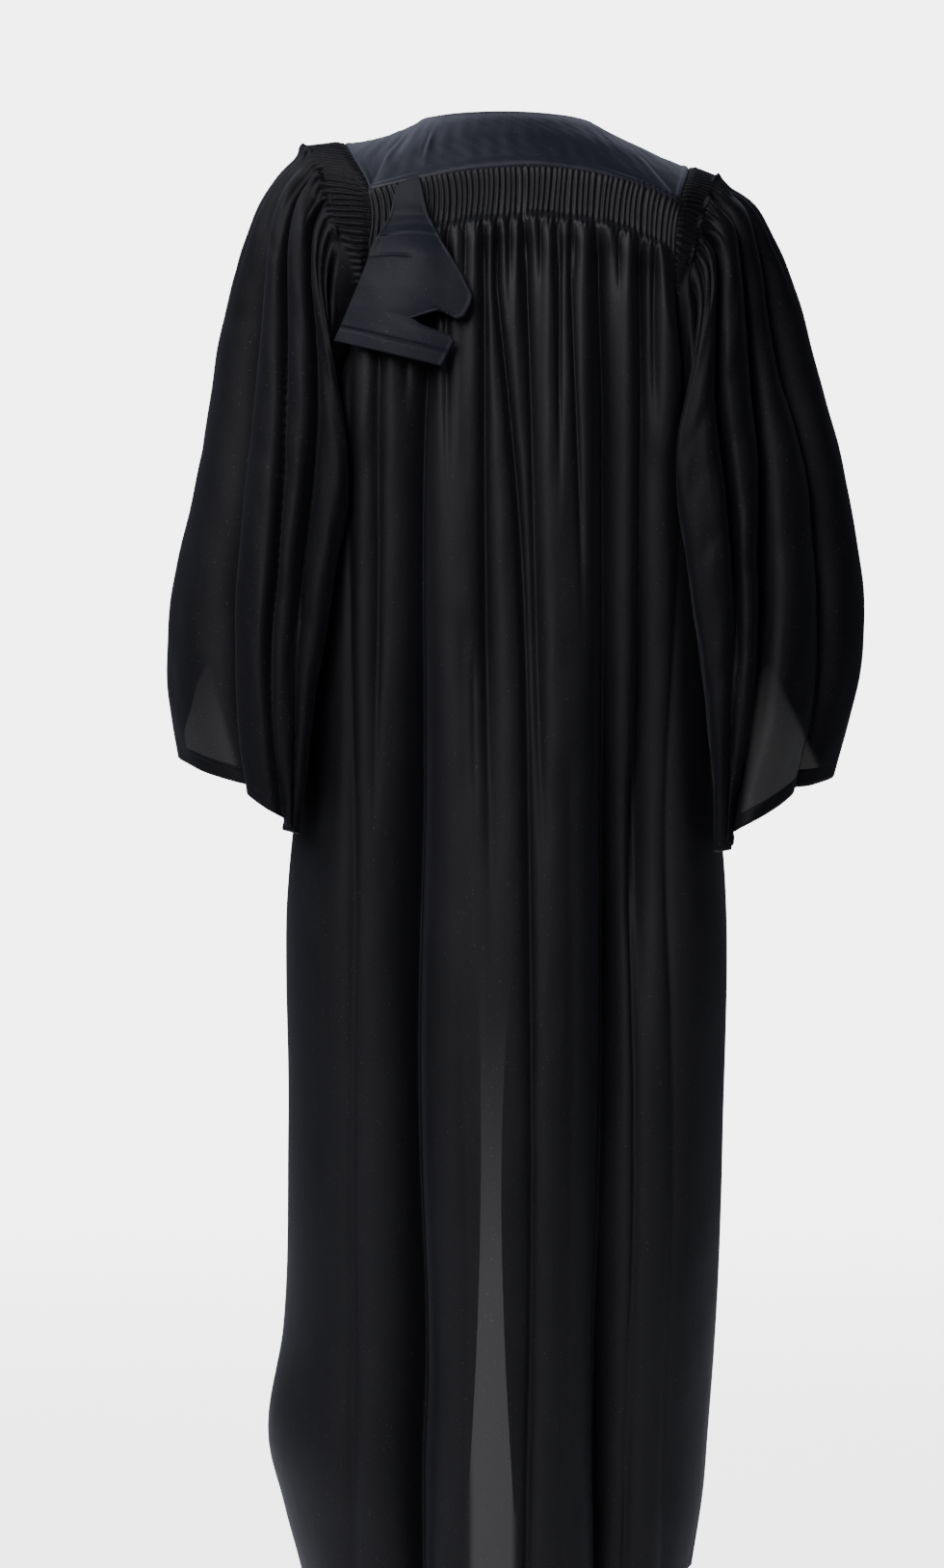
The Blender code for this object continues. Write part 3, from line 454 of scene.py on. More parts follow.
def add_mesh(name, grid, uv, turned, material, closed=False):
    """A mesh of quads from a grid of points, and its UV map in metres of cloth. On a closed
    tube the last column is the first one again, and only the UV map has it twice."""
    rows, columns = grid.shape[:2]
    wide = np.arange(rows * columns).reshape(rows, columns)
    index = wide.copy()
    vertices = grid.reshape(-1, 3)
    if closed:
        index = np.arange(rows * (columns - 1)).reshape(rows, columns - 1)
        index = np.concatenate([index, index[:, :1]], axis=1)
        vertices = grid[:, :-1].reshape(-1, 3)

    def quads(numbers):
        corners = (numbers[:-1, :-1], numbers[:-1, 1:], numbers[1:, 1:], numbers[1:, :-1])
        found = np.stack(corners, axis=-1).reshape(-1, 4)
        return found[:, ::-1] if turned else found

    faces = quads(index)
    mesh = bpy.data.meshes.new(name)
    mesh.vertices.add(len(vertices))
    mesh.vertices.foreach_set("co", vertices.astype(np.float32).ravel())
    mesh.loops.add(faces.size)
    mesh.loops.foreach_set("vertex_index", faces.astype(np.int32).ravel())
    mesh.polygons.add(len(faces))
    mesh.polygons.foreach_set("loop_start", np.arange(0, faces.size, 4, dtype=np.int32))
    mesh.update(calc_edges=True)
    layer = mesh.uv_layers.new(name="cloth")
    layer.data.foreach_set("uv", uv.reshape(-1, 2)[quads(wide).ravel()].astype(np.float32).ravel())
    mesh.shade_smooth()
    mesh.materials.append(material)
    piece = bpy.data.objects.new(name, mesh)
    bpy.context.scene.collection.objects.link(piece)
    return piece


class Value:
    """A node's output. Python's operators add Math nodes, and node() adds any other node."""

    def __init__(self, tree, socket=None):
        self.tree = tree
        self.socket = socket

    def node(self, kind, inputs, output=0, **settings):
        """Adds a node with its settings, and sets its inputs or links them to other values."""
        made = self.tree.nodes.new(kind)
        for name, setting in settings.items():
            setattr(made, name, setting)
        for key, given in inputs.items():
            if isinstance(given, Value):
                self.tree.links.new(given.socket, made.inputs[key])
            else:
                made.inputs[key].default_value = given
        return Value(self.tree, made.outputs[output] if made.outputs else None)

    def maths(self, operation, *given):
        """Adds a Math node."""
        return self.node("ShaderNodeMath", dict(enumerate(given)), operation=operation)

    def __add__(self, other):
        return self.maths("ADD", self, other)

    def __sub__(self, other):
        return self.maths("SUBTRACT", self, other)

    def __rsub__(self, other):
        return self.maths("SUBTRACT", other, self)

    def __mul__(self, other):
        return self.maths("MULTIPLY", self, other)

    def __truediv__(self, other):
        return self.maths("DIVIDE", self, other)

    __radd__ = __add__
    __rmul__ = __mul__

    def between(self, low, high):
        """0 below low, 1 above high, smooth between them."""
        places = {"Value": self, "From Min": low, "From Max": high}
        return self.node("ShaderNodeMapRange", places, interpolation_type="SMOOTHSTEP")

    def stretched(self, scale):
        """Coordinates stretched by a factor on each axis."""
        return self.node("ShaderNodeMapping", {"Vector": self, "Scale": scale})

    def part(self, axis):
        """One of the three parts of coordinates."""
        return self.node("ShaderNodeSeparateXYZ", {0: self}, output=axis)

    def away(self, middle, near, far):
        """0 within one distance of a middle value, and 1 beyond another."""
        off = self - middle
        return off.maths("ABSOLUTE", off).between(near, far)

    def noise(self, scale, detail):
        """Soft noise at these coordinates, around a half."""
        settings = {"Vector": self, "Scale": scale, "Detail": detail}
        return self.node("ShaderNodeTexNoise", settings)

    def mix(self, first, second):
        """The first colour where this is 0, and the second where it is 1."""
        sides = {0: self, 6: first, 7: second}
        return self.node("ShaderNodeMix", sides, output=2, data_type="RGBA")


def fresh_tree(owner):
    """The emptied node tree of a material or a world, as a value to start from."""
    owner.use_nodes = True
    owner.node_tree.nodes.clear()
    return Value(owner.node_tree)


# The stitches' pitch, and how far in from the edge of a turned hem they lie

STITCH_PITCH = 0.0030
STITCHED_IN = 0.003


def stitch_line(uv, height):
    """A row of stitches at a height above the hem, as a mask: a thin line cut into dashes."""
    pitches = uv.part(0) / STITCH_PITCH
    dash = pitches.maths("FRACT", pitches).between(0.15, 0.3)
    return (1 - uv.part(1).away(height, 0.0003, 0.0008)) * dash


# How thin cloth lets light through its single layer: the heights between which this grows, how
# much it is in the end, the height and the middle of a strip that alone lets it through near
# the hem, and the zones that alone do so on the side towards the back, where there are any

Thin = namedtuple("Thin", "starts full let_through hem middle zones")

# Half the strip's width, from clear to closed, the height over which it forms, and where along
# Y the side towards the back begins

STRIP_HALF = (0.016, 0.024)
STRIP_FORMS = 0.10
TOWARDS_BACK = (-0.01, 0.02)


def in_outline(place, corners, soft=0.004):
    """A mask of a convex outline on the cloth, as seen from behind. Its corners are places
    across and up, in metres, in the order that keeps the inside on the left."""
    across = place.part(0)
    up = place.part(2)
    mask = 1.0
    for (x, z), (next_x, next_z) in zip(corners, corners[1:] + corners[:1]):
        length = math.hypot(next_x - x, next_z - z)
        along, rise_along = (next_x - x) / length, (next_z - z) / length
        inside = up * along - across * rise_along - (z * along - x * rise_along)
        mask = inside.between(-soft, soft) * mask
    return mask


def light_through(place, thin):
    """The share of light that thin cloth lets through, at each place."""
    up = place.part(2)
    through = (1 - up.between(thin.full, thin.starts)) * thin.let_through
    if thin.hem is not None:
        aside = place.part(0).away(thin.middle, *STRIP_HALF)
        doubled = 1 - up.between(thin.hem, thin.hem + STRIP_FORMS)
        through = through * (1 - aside * doubled)
    if thin.zones:
        back = place.part(1).between(*TOWARDS_BACK)
        clear = in_outline(place, thin.zones[0]) + in_outline(place, thin.zones[1])
        through = through * (1 - back * (1 - clear))
    return through


LINT_COLOUR = (0.30, 0.30, 0.32, 1)
LINT_SHARE = 0.16

# The bump's depth in metres, and each pattern's share of it

BUMP_DEPTH = 0.0011
CRINKLE = 0.20
FINE_CRINKLE = 0.06
WEAVE = 0.03
STITCH = 0.35


def satin(name, dark, light, roughness, shine, thin=None, hem=None, grain=1.0):
    """Satin: warp streaks, a fine weave and soft crinkles as bump, two near shades that drift
    over the cloth, and a sparse lint. Stitching lies at the hem's height where one is given."""
    material = bpy.data.materials.new(name)
    start = fresh_tree(material)
    uv = start.node("ShaderNodeUVMap", {}, uv_map="cloth")
    place = start.node("ShaderNodeTexCoord", {}, output=3)
    streaks = uv.stretched((900.0, 40.0, 1.0)).noise(1.0, 3.0)
    weave = uv.stretched((2400.0, 2400.0, 1.0)).noise(1.0, 0.0)
    crinkle = place.stretched((1.0, 1.0, 0.35)).noise(55.0, 3.0)
    fine_crinkle = place.stretched((1.0, 1.0, 0.5)).noise(170.0, 2.0)
    drift = place.stretched((1.0, 1.0, 0.4)).noise(9.0, 2.0).between(0.35, 0.65)
    lint = place.noise(650.0, 0.0).between(0.78, 0.83)
    colour = (drift * 0.7 + streaks * 0.3).mix((*dark, 1), (*light, 1))
    colour = (lint * LINT_SHARE).mix(colour, LINT_COLOUR)
    height = crinkle * CRINKLE + fine_crinkle * FINE_CRINKLE
    height = height + streaks * (WEAVE * grain) + weave * (WEAVE * grain)
    if hem is not None:
        stitches = stitch_line(uv, hem)
        height = height - stitches * STITCH
        colour = (stitches * 0.6).mix(colour, tuple(0.4 * c for c in dark) + (1,))
    bump = {"Strength": 1.0, "Distance": BUMP_DEPTH, "Height": height}
    look = {
        "Base Color": colour,
        "Roughness": roughness + (crinkle - 0.5) * 0.12 + (drift - 0.5) * 0.05,
        "Normal": start.node("ShaderNodeBump", bump),
        "Alpha": 1.0 if thin is None else 1 - light_through(place, thin),
        "Specular IOR Level": shine,
        "Sheen Weight": 0.06,
        "Sheen Roughness": 0.45,
        "Sheen Tint": (0.80, 0.86, 1.0, 1.0),
    }
    shader = start.node("ShaderNodeBsdfPrincipled", look)
    start.node("ShaderNodeOutputMaterial", {"Surface": shader})
    return material


gown_satin = satin(
    "gown_cloth",
    dark=(0.0060, 0.0060, 0.0078),
    light=(0.0098, 0.0096, 0.0122),
    roughness=0.54,
    shine=0.44,
    thin=Thin(starts=-0.74, full=-1.22, let_through=0.0110, hem=-1.285, middle=0.018, zones=None),
    hem=HEM_TURN - STITCHED_IN,
)


def declare(piece, node):
    """Puts a piece on the root body and hides the part of the model that it stands for."""
    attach(piece, "root")
    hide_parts(node)


def make_back():
    """The back: the smooth back, moved in by its folds and out by its ribs and fold heads."""
    shares = np.linspace(0, 1, BACK_RIBS * RIB_COLUMNS + 1)
    down = rows_down(*BACK_SPANS)
    grid = softened(even_rows(back_base, shares, down), down)
    normals = outward(grid, -1)
    fade = ends_fade(grid, 0.002, 0.024)
    x = grid[..., 0]
    level = height_share(grid)
    waver = 0.12 * np.sin(31 * shares + 60 * level) + 0.10 * np.sin(83 * shares)
    foot = BACK_FOOT + 0.003 * np.sin(40 * shares) * np.sin(17 * shares + 1.0)
    gauged = (1 - rise(level, foot - 0.003, foot + 0.006)) * (0.55 + 0.45 * rise(level, 0, 0.005))
    tall = 1 + 0.25 * np.sin(2.6 * BACK_RIBS * shares) * np.sin(23 * shares)
    raised = RIB_HEIGHT * tall * ribs(BACK_RIBS * shares + waver, RIB_SHARP) * gauged
    raised = raised - GAUGE_SINKS * gauged
    springs = rise(level, foot - 0.012, foot + 0.014) * (1 - rise(level, 0.08, 0.34))
    wave = ripple(11 * x, 6 * level, 0.7) * rise(level, 0.04, 0.12)
    heads = head_height(BACK_HEADS, x, level)
    depth = fold_depth(BACK_FOLDS + pinches(BACK_HEADS), x, level)
    raised = raised + (SPRING * springs + heads + BACK_RIPPLE * wave - depth) * fade
    moved = grid + normals * raised[..., None]
    full, places = hemmed(moved, outward(moved, -1), down, HEM_TURN)
    seams = ALLOWANCE * repeated(normals, places)
    full = np.concatenate([full[:, :1] - seams[:, :1], full, full[:, -1:] - seams[:, -1:]], axis=1)
    full, places = with_top(full, places, full[:1] + np.array(BACK_TUCK), TUCK_PLACE)
    across = np.concatenate([[-0.01], shares, [1.01]])
    uv = cloth_uv(across * BACK_FLAT[0], (1 - places[:, None]) * BACK_FLAT[1], 0)
    piece = add_mesh("back_panel_cloth", full, uv, True, gown_satin)
    declare(piece, "back_panel")


# The front panels
# Two widths of the same satin, sewn flat to the front ends of the yoke, joined to the back at
# the side seams and open down the middle, with a narrow turned edge at the opening.

FrontRow = namedtuple("FrontRow", "edge opening left right depth square")

FRONT_ROWS = table(
    FrontRow,
    (-0.080, -0.086, 0.072, -0.074, 0.092, 2.4),
    (-0.190, -0.210, 0.064, -0.062, 0.112, 2.4),
    (-0.300, -0.345, 0.056, -0.050, 0.126, 2.4),
    (-0.600, -0.615, 0.043, -0.030, 0.141, 2.3),
    (-0.850, -0.855, 0.030, 0.000, 0.150, 2.2),
    (-1.000, -1.000, 0.028, 0.007, 0.154, 2.2),
    (-1.200, -1.200, 0.032, 0.004, 0.160, 2.2),
    (HEM, HEM, 0.042, -0.006, 0.166, 2.2),
)

# A front's flat size, the turns of the armhole that it follows, its rows and columns, how uneven
# it is, the shift of its top allowance, how deep its edge is turned at the opening, and how much
# lower the right one's top ends

FRONT_FLAT = (0.27, 1.37)
FRONT_TURNS = (0.850, 0.500)
FRONT_SPANS = ((0, 0.26, 44), (0.26, 0.98, 64), (0.98, 1.0, 8))
FRONT_COLUMNS = 120
FRONT_RIPPLE = 0.0010
FRONT_TUCK = (0.0, 0.005, 0.006)
OPENING_TURN = 0.016
RIGHT_TOP_DROP = 0.010

FRONT_FOLDS = table(
    Fold,
    ((0.128, 0.148, 0.152), (0.008, 0.015), (0.006, 0.010), 0.05, 2.0, 0.2),
    ((0.098, 0.106, 0.106), (0.009, 0.018), (0.006, 0.013, 0.016), 0.05, 2.0, -0.3),
    ((0.112, 0.128, 0.130), (0.005, 0.006), (0.003, 0.003, 0.004), 0.10, 2.0, 0.0),
    ((0.082, 0.082, 0.080), (0.006, 0.009), (0.004, 0.004, 0.006), 0.08, 2.0, 0.2),
    ((0.140, 0.172, 0.180), (0.009, 0.012), (0.003, 0.006, 0.009), 0.22, 2.0, 0.0),
    ((0.070, 0.062, 0.058), (0.006, 0.010), (0.001, 0.003, 0.005), 0.30, 2.0, -0.2),
)


def front_base(left_side):
    """Gives one front's smooth surface as a function of places across and down. Each row runs
    from its side to the opening along a quarter of a rounded box's outline, by powers of the
    cosine and the sine."""

    def base(across, down):
        across, down = np.broadcast_arrays(across, down)
        side = row_edge(left_side, FRONT_TURNS, down)
        names = ("left" if left_side else "right", "opening", "depth", "square")
        opening_x, opening_z, depth, square = read_rows(FRONT_ROWS, -side[..., 2], *names)
        opening_z = opening_z - (0 if left_side else RIGHT_TOP_DROP) * (1 - rise(down, 0, 0.3))
        swing = np.maximum(np.cos(np.pi / 2 * across), 0) ** (2 / square)
        bulge = np.maximum(np.sin(np.pi / 2 * across), 0) ** (2 / square)
        return points(
            opening_x + (side[..., 0] - opening_x) * swing,
            side[..., 1] + (-depth - side[..., 1]) * bulge,
            side[..., 2] + (opening_z - side[..., 2]) * bulge,
        )

    return base


def make_front(left_side):
    """A front: its smooth surface moved in by folds and creases, hemmed and turned at the edge."""
    sign = 1 if left_side else -1
    shares = np.linspace(0, 1, FRONT_COLUMNS + 1)
    down = rows_down(*FRONT_SPANS)
    grid = softened(even_rows(front_base(left_side), shares, down), down)
    normals = outward(grid, sign)
    x = sign * grid[..., 0]
    level = height_share(grid)
    wave = ripple(14 * x, 9 * level, 1.9 if left_side else 4.3)
    depth = fold_depth(FRONT_FOLDS, x, level) + FRONT_RIPPLE * wave
    moved = grid - normals * (depth * ends_fade(grid, 0.004, 0.030))[..., None]
    full, places = hemmed(moved, outward(moved, sign), down, HEM_TURN)
    edge = repeated(normals, places)
    side = full[:, :1] - ALLOWANCE * edge[:, :1]
    inward = unit(full[:, -3:-2] - full[:, -1:])
    turned = [
        full[:, -1:] + inward * OPENING_TURN * share - LAYER * edge[:, -1:]
        for share in (0.0, 0.5, 1.0)
    ]
    full = np.concatenate([side, full] + turned, axis=1)
    full, places = with_top(full, places, full[:1] + np.array(FRONT_TUCK), TUCK_PLACE)
    turn = OPENING_TURN / FRONT_FLAT[0]
    across = np.concatenate([[-0.02], shares, 1 + turn * np.array([0.02, 0.5, 1.0])])
    uv = cloth_uv(across * FRONT_FLAT[0], (1 - places[:, None]) * FRONT_FLAT[1], sign)
    name = "front_left" if left_side else "front_right"
    piece = add_mesh(name + "_cloth", full, uv, not left_side, gown_satin)
    declare(piece, name)


# The sleeves
# Wide bell sleeves of the same satin. Each head is gauged into the armhole over the shoulder and
# the back, so that the cloth stands in ribs square to the seam and then falls in long folds.

SleeveRing = namedtuple("SleeveRing", "outer_x outer_z inner_x inner_z back front wrap drop lift")

LEFT_RINGS = table(
    SleeveRing,
    (0.197, -0.014, 0.181, -0.309, 0.121, -0.104, 0.028, 0.000, 0.000),
    (0.231, -0.046, 0.185, -0.326, 0.131, -0.112, 0.030, 0.000, 0.000),
    (0.261, -0.106, 0.188, -0.348, 0.137, -0.120, 0.028, 0.000, 0.000),
    (0.283, -0.182, 0.191, -0.382, 0.142, -0.129, 0.022, 0.000, 0.005),
    (0.298, -0.268, 0.194, -0.427, 0.146, -0.136, 0.016, 0.002, 0.012),
    (0.313, -0.358, 0.198, -0.480, 0.149, -0.142, 0.010, 0.006, 0.024),
    (0.329, -0.438, 0.204, -0.537, 0.151, -0.146, 0.006, 0.010, 0.045),
    (0.331, -0.518, 0.211, -0.600, 0.151, -0.148, 0.003, 0.013, 0.080),
    (0.322, -0.588, 0.218, -0.655, 0.150, -0.147, 0.000, 0.014, 0.130),
)

RIGHT_RINGS = table(
    SleeveRing,
    (-0.194, -0.042, -0.176, -0.313, 0.121, -0.104, 0.024, 0.000, 0.000),
    (-0.232, -0.064, -0.181, -0.330, 0.131, -0.112, 0.028, 0.000, 0.000),
    (-0.262, -0.116, -0.184, -0.353, 0.137, -0.120, 0.026, 0.000, 0.000),
    (-0.287, -0.187, -0.187, -0.388, 0.142, -0.129, 0.020, 0.000, 0.005),
    (-0.309, -0.262, -0.190, -0.433, 0.146, -0.136, 0.015, 0.002, 0.012),
    (-0.326, -0.342, -0.193, -0.488, 0.149, -0.142, 0.010, 0.006, 0.024),
    (-0.339, -0.427, -0.198, -0.546, 0.151, -0.146, 0.006, 0.010, 0.045),
    (-0.336, -0.515, -0.204, -0.612, 0.151, -0.148, 0.003, 0.014, 0.080),
    (-0.314, -0.603, -0.210, -0.674, 0.150, -0.147, 0.000, 0.012, 0.130),
)

# How square each ring is, how far the sleeve's back is drawn in towards the body, its flat size,
# its rows, its hem, its allowance at the armhole, and how uneven its surface is

RING_SQUARE = 2.4
SLEEVE_TUCK = 0.056
SLEEVE_FLAT = (0.80, 0.56)
SLEEVE_SPANS = ((0, 0.16, 34), (0.16, 0.40, 34), (0.40, 0.975, 44), (0.975, 1.0, 6))
SLEEVE_HEM_TURN = 0.014
ARMHOLE_ALLOWANCE = 0.004
ARMHOLE_PLACE = -0.01
SLEEVE_RIPPLE = 0.0016

# The gauging: where it starts and ends round the sleeve, the mesh's columns before and after
# it, its ribs with their height and narrowness, and how far down the sleeve they reach on the
# left and on the right

GAUGE_FROM = 0.285
GAUGE_TO = 0.745
PLAIN_COLUMNS = 44
SLEEVE_RIBS = 58
SLEEVE_RIB_HEIGHT = 0.0038
SLEEVE_RIB_SHARP = 0.70
SLEEVE_FEET = (0.112, 0.135)

# Places round a sleeve are shares of the way from the underarm, by the front, over the shoulder

OUTER_FOLDS = table(
    Fold,
    ((0.330, 0.150, 0.085), (0.012, 0.020), (0.007, 0.009, 0.007), 0.11, 2.0, 0.0),
    ((0.385, 0.230, 0.175), (0.012, 0.022), (0.008, 0.013, 0.011), 0.11, 2.0, 0.2),
    ((0.440, 0.330, 0.280), (0.013, 0.024), (0.008, 0.015, 0.013), 0.11, 2.0, -0.2),
    ((0.505, 0.500, 0.490), (0.012, 0.020), (0.006, 0.008, 0.007), 0.11, 2.0, 0.2),
)
LEFT_SLEEVE_FOLDS = OUTER_FOLDS + table(
    Fold,
    ((0.556, 0.560, 0.582, 0.655), (0.006, 0.026), (0.010, 0.040, 0.030), 0.10, 2.0, 0.3),
    ((0.600, 0.612, 0.650, 0.755), (0.005, 0.009), (0.012, 0.020, 0.012), 0.09, 2.0, 0.0),
    ((0.645, 0.668, 0.705, 0.800), (0.007, 0.014), (0.012, 0.019, 0.014), 0.09, 2.0, 0.0),
    ((0.700, 0.780, 0.860, 0.935), (0.006, 0.012), (0.008, 0.010, 0.008), 0.12, 2.0, 0.0),
)
RIGHT_SLEEVE_FOLDS = OUTER_FOLDS + table(
    Fold,
    ((0.542, 0.545, 0.560, 0.610), (0.006, 0.024), (0.008, 0.034, 0.018), 0.10, 2.0, -0.3),
    ((0.592, 0.600, 0.622, 0.760), (0.006, 0.019), (0.010, 0.034, 0.026), 0.11, 2.0, 0.0),
    ((0.650, 0.665, 0.692, 0.800), (0.006, 0.011), (0.012, 0.024, 0.014), 0.12, 2.0, 0.2),
    ((0.705, 0.780, 0.860, 0.935), (0.006, 0.012), (0.008, 0.010, 0.008), 0.12, 2.0, 0.0),
)

# Lesser folds start between the ribs and follow the flow of the great ones: where at the top,
# how wide, how deep, and where they end

LesserFold = namedtuple("LesserFold", "top width depth ends")

LESSER_FOLDS = table(
    LesserFold,
    (0.305, 0.006, 0.0030, 0.40),
    (0.348, 0.005, 0.0034, 0.34),
    (0.366, 0.006, 0.0036, 0.45),
    (0.404, 0.005, 0.0032, 0.36),
    (0.422, 0.006, 0.0036, 0.45),
    (0.460, 0.005, 0.0034, 0.36),
    (0.482, 0.006, 0.0040, 0.50),
    (0.524, 0.005, 0.0036, 0.45),
    (0.542, 0.005, 0.0040, 0.36),
    (0.590, 0.005, 0.0040, 0.32),
    (0.632, 0.004, 0.0030, 0.24),
    (0.664, 0.005, 0.0050, 0.30),
    (0.680, 0.005, 0.0060, 0.34),
    (0.712, 0.005, 0.0040, 0.30),
    (0.728, 0.005, 0.0034, 0.28),
)

SLEEVE_HEADS = table(
    Head,
    (0.553, 0.100, 0.008, 0.10, 0.0065),
    (0.616, 0.100, 0.009, 0.12, 0.0055),
    (0.650, 0.092, 0.008, 0.10, 0.0045),
    (0.690, 0.090, 0.008, 0.08, 0.0040),
    (0.512, 0.105, 0.008, 0.08, 0.0040),
    (0.475, 0.100, 0.008, 0.08, 0.0040),
    (0.430, 0.100, 0.008, 0.08, 0.0036),
    (0.380, 0.095, 0.008, 0.08, 0.0036),
    (0.335, 0.090, 0.008, 0.08, 0.0030),
)

# A crease is a shallow trough across the cloth, with its middle round the sleeve and down it,
# its half length and width, its depth, and how far it drops for each share along it

Crease = namedtuple("Crease", "place down length width depth tilt")

LEFT_CREASES = table(
    Crease,
    (0.590, 0.300, 0.030, 0.012, 0.0012, 0.25),
    (0.560, 0.420, 0.050, 0.014, 0.0012, -0.20),
    (0.660, 0.560, 0.060, 0.014, 0.0012, 0.15),
    (0.740, 0.700, 0.070, 0.016, 0.0012, 0.10),
    (0.300, 0.450, 0.060, 0.014, 0.0014, 0.15),
    (0.250, 0.700, 0.070, 0.016, 0.0012, -0.10),
)

RIGHT_CREASES = table(
    Crease,
    (0.700, 0.440, 0.060, 0.011, 0.0018, 0.10),
    (0.690, 0.520, 0.050, 0.010, 0.0016, -0.12),
    (0.730, 0.600, 0.070, 0.012, 0.0018, 0.08),
    (0.680, 0.680, 0.060, 0.012, 0.0016, -0.05),
    (0.760, 0.770, 0.070, 0.013, 0.0018, 0.10),
    (0.690, 0.860, 0.060, 0.012, 0.0014, -0.08),
    (0.300, 0.500, 0.060, 0.014, 0.0014, 0.15),
    (0.260, 0.740, 0.070, 0.016, 0.0012, -0.10),
)


def crease_depth(creases, place, down):
    """Bell-shaped troughs, long across the cloth and short down it, tilted along their length."""
    total = np.zeros(np.broadcast(place, down).shape)
    for crease in creases:
        along = (place - crease.place) / crease.length
        across = (down - crease.down - crease.tilt * (place - crease.place)) / crease.width
        total += crease.depth * np.exp(-(along**2) - across**2)
    return total


def sleeve_base(left_side):
    """Gives the smooth sleeve as a function of places round it and down it. It runs straight
    from the armhole to its first ring, and each ring below is a rounded box's outline, by
    powers of the cosine and the sine, in a plane that slopes from its outer point to its
    inner one."""
    rings = LEFT_RINGS if left_side else RIGHT_RINGS
    keys = np.linspace(0, 1, len(rings) + 1)[1:]
    sign = 1 if left_side else -1

    def ring(across, down):
        value = {name: smooth(keys, column(rings, name), down) for name in SleeveRing._fields}
        angle = 2 * np.pi * (across - 0.5)
        swing = power(np.cos(angle), 2 / RING_SQUARE)
        side = power(np.sin(angle), 2 / RING_SQUARE)
        mid_x = (value["outer_x"] + value["inner_x"]) / 2
        mid_y = (value["back"] + value["front"]) / 2
        mid_z = (value["outer_z"] + value["inner_z"]) / 2
        x = mid_x + (value["outer_x"] - mid_x) * swing - sign * value["wrap"] * side**2
        x = x - sign * SLEEVE_TUCK * rise(down, 0.12, 0.5) * np.maximum(side, 0) ** 2
        y = mid_y + (value["back"] - mid_y) * side
        z = mid_z + (value["outer_z"] - mid_z) * swing
        z = z - value["drop"] * np.maximum(side, 0) ** 2
        return points(x, y, z + value["lift"] * np.maximum(-side, 0) ** 2)

    def base(across, down):
        across, down = np.broadcast_arrays(across, down)
        head = armhole(left_side, across - 0.5)
        first = ring(across, np.maximum(down, keys[0]))
        share = np.clip(down / keys[0], 0, 1)[..., None]
        return head + (first - head) * share

    return base


def sleeve_folds(great):
    """The great folds, and the lesser ones with their lines read from the great ones' flow."""
    found = list(great)
    tops = [fold.places[0] for fold in great]
    for lesser in LESSER_FOLDS:
        flow = [
            float(np.interp(lesser.top, tops, [at_levels(fold.places, level) for fold in great]))
            for level in FOLD_LEVELS[4]
        ]
        depths = (lesser.depth, 0.6 * lesser.depth)
        widths = (lesser.width, 1.3 * lesser.width)
        found.append(Fold(tuple(flow), widths, depths, 0.10, lesser.ends, 0.0))
    return found


def round_outward(grid, facing):
    """Outward normals of a closed tube, whose last column is its first one again."""
    wide = np.concatenate([grid[:, -2:-1], grid, grid[:, 1:2]], axis=1)
    return outward(wide, facing)[:, 1:-1]


# Where light comes through the back of each sleeve, as corners across and up

SLEEVE_ZONES = (
    [(0.242, -0.647), (0.303, -0.616), (0.316, -0.569), (0.298, -0.445)],
    [(-0.233, -0.486), (-0.293, -0.602), (-0.274, -0.642), (-0.207, -0.678)],
)

# The same satin as the gown's, with darker shades: the darkening is painted shade on the sleeves.
sleeve_satin_with_painted_shade = satin(
    "sleeve_cloth",
    dark=(0.0048, 0.0048, 0.0064),
    light=(0.0078, 0.0077, 0.0100),
    roughness=0.56,
    shine=0.24,
    thin=Thin(starts=-0.46, full=-0.58, let_through=0.0042, hem=None, middle=None, zones=SLEEVE_ZONES),
    hem=SLEEVE_HEM_TURN - STITCHED_IN,
)


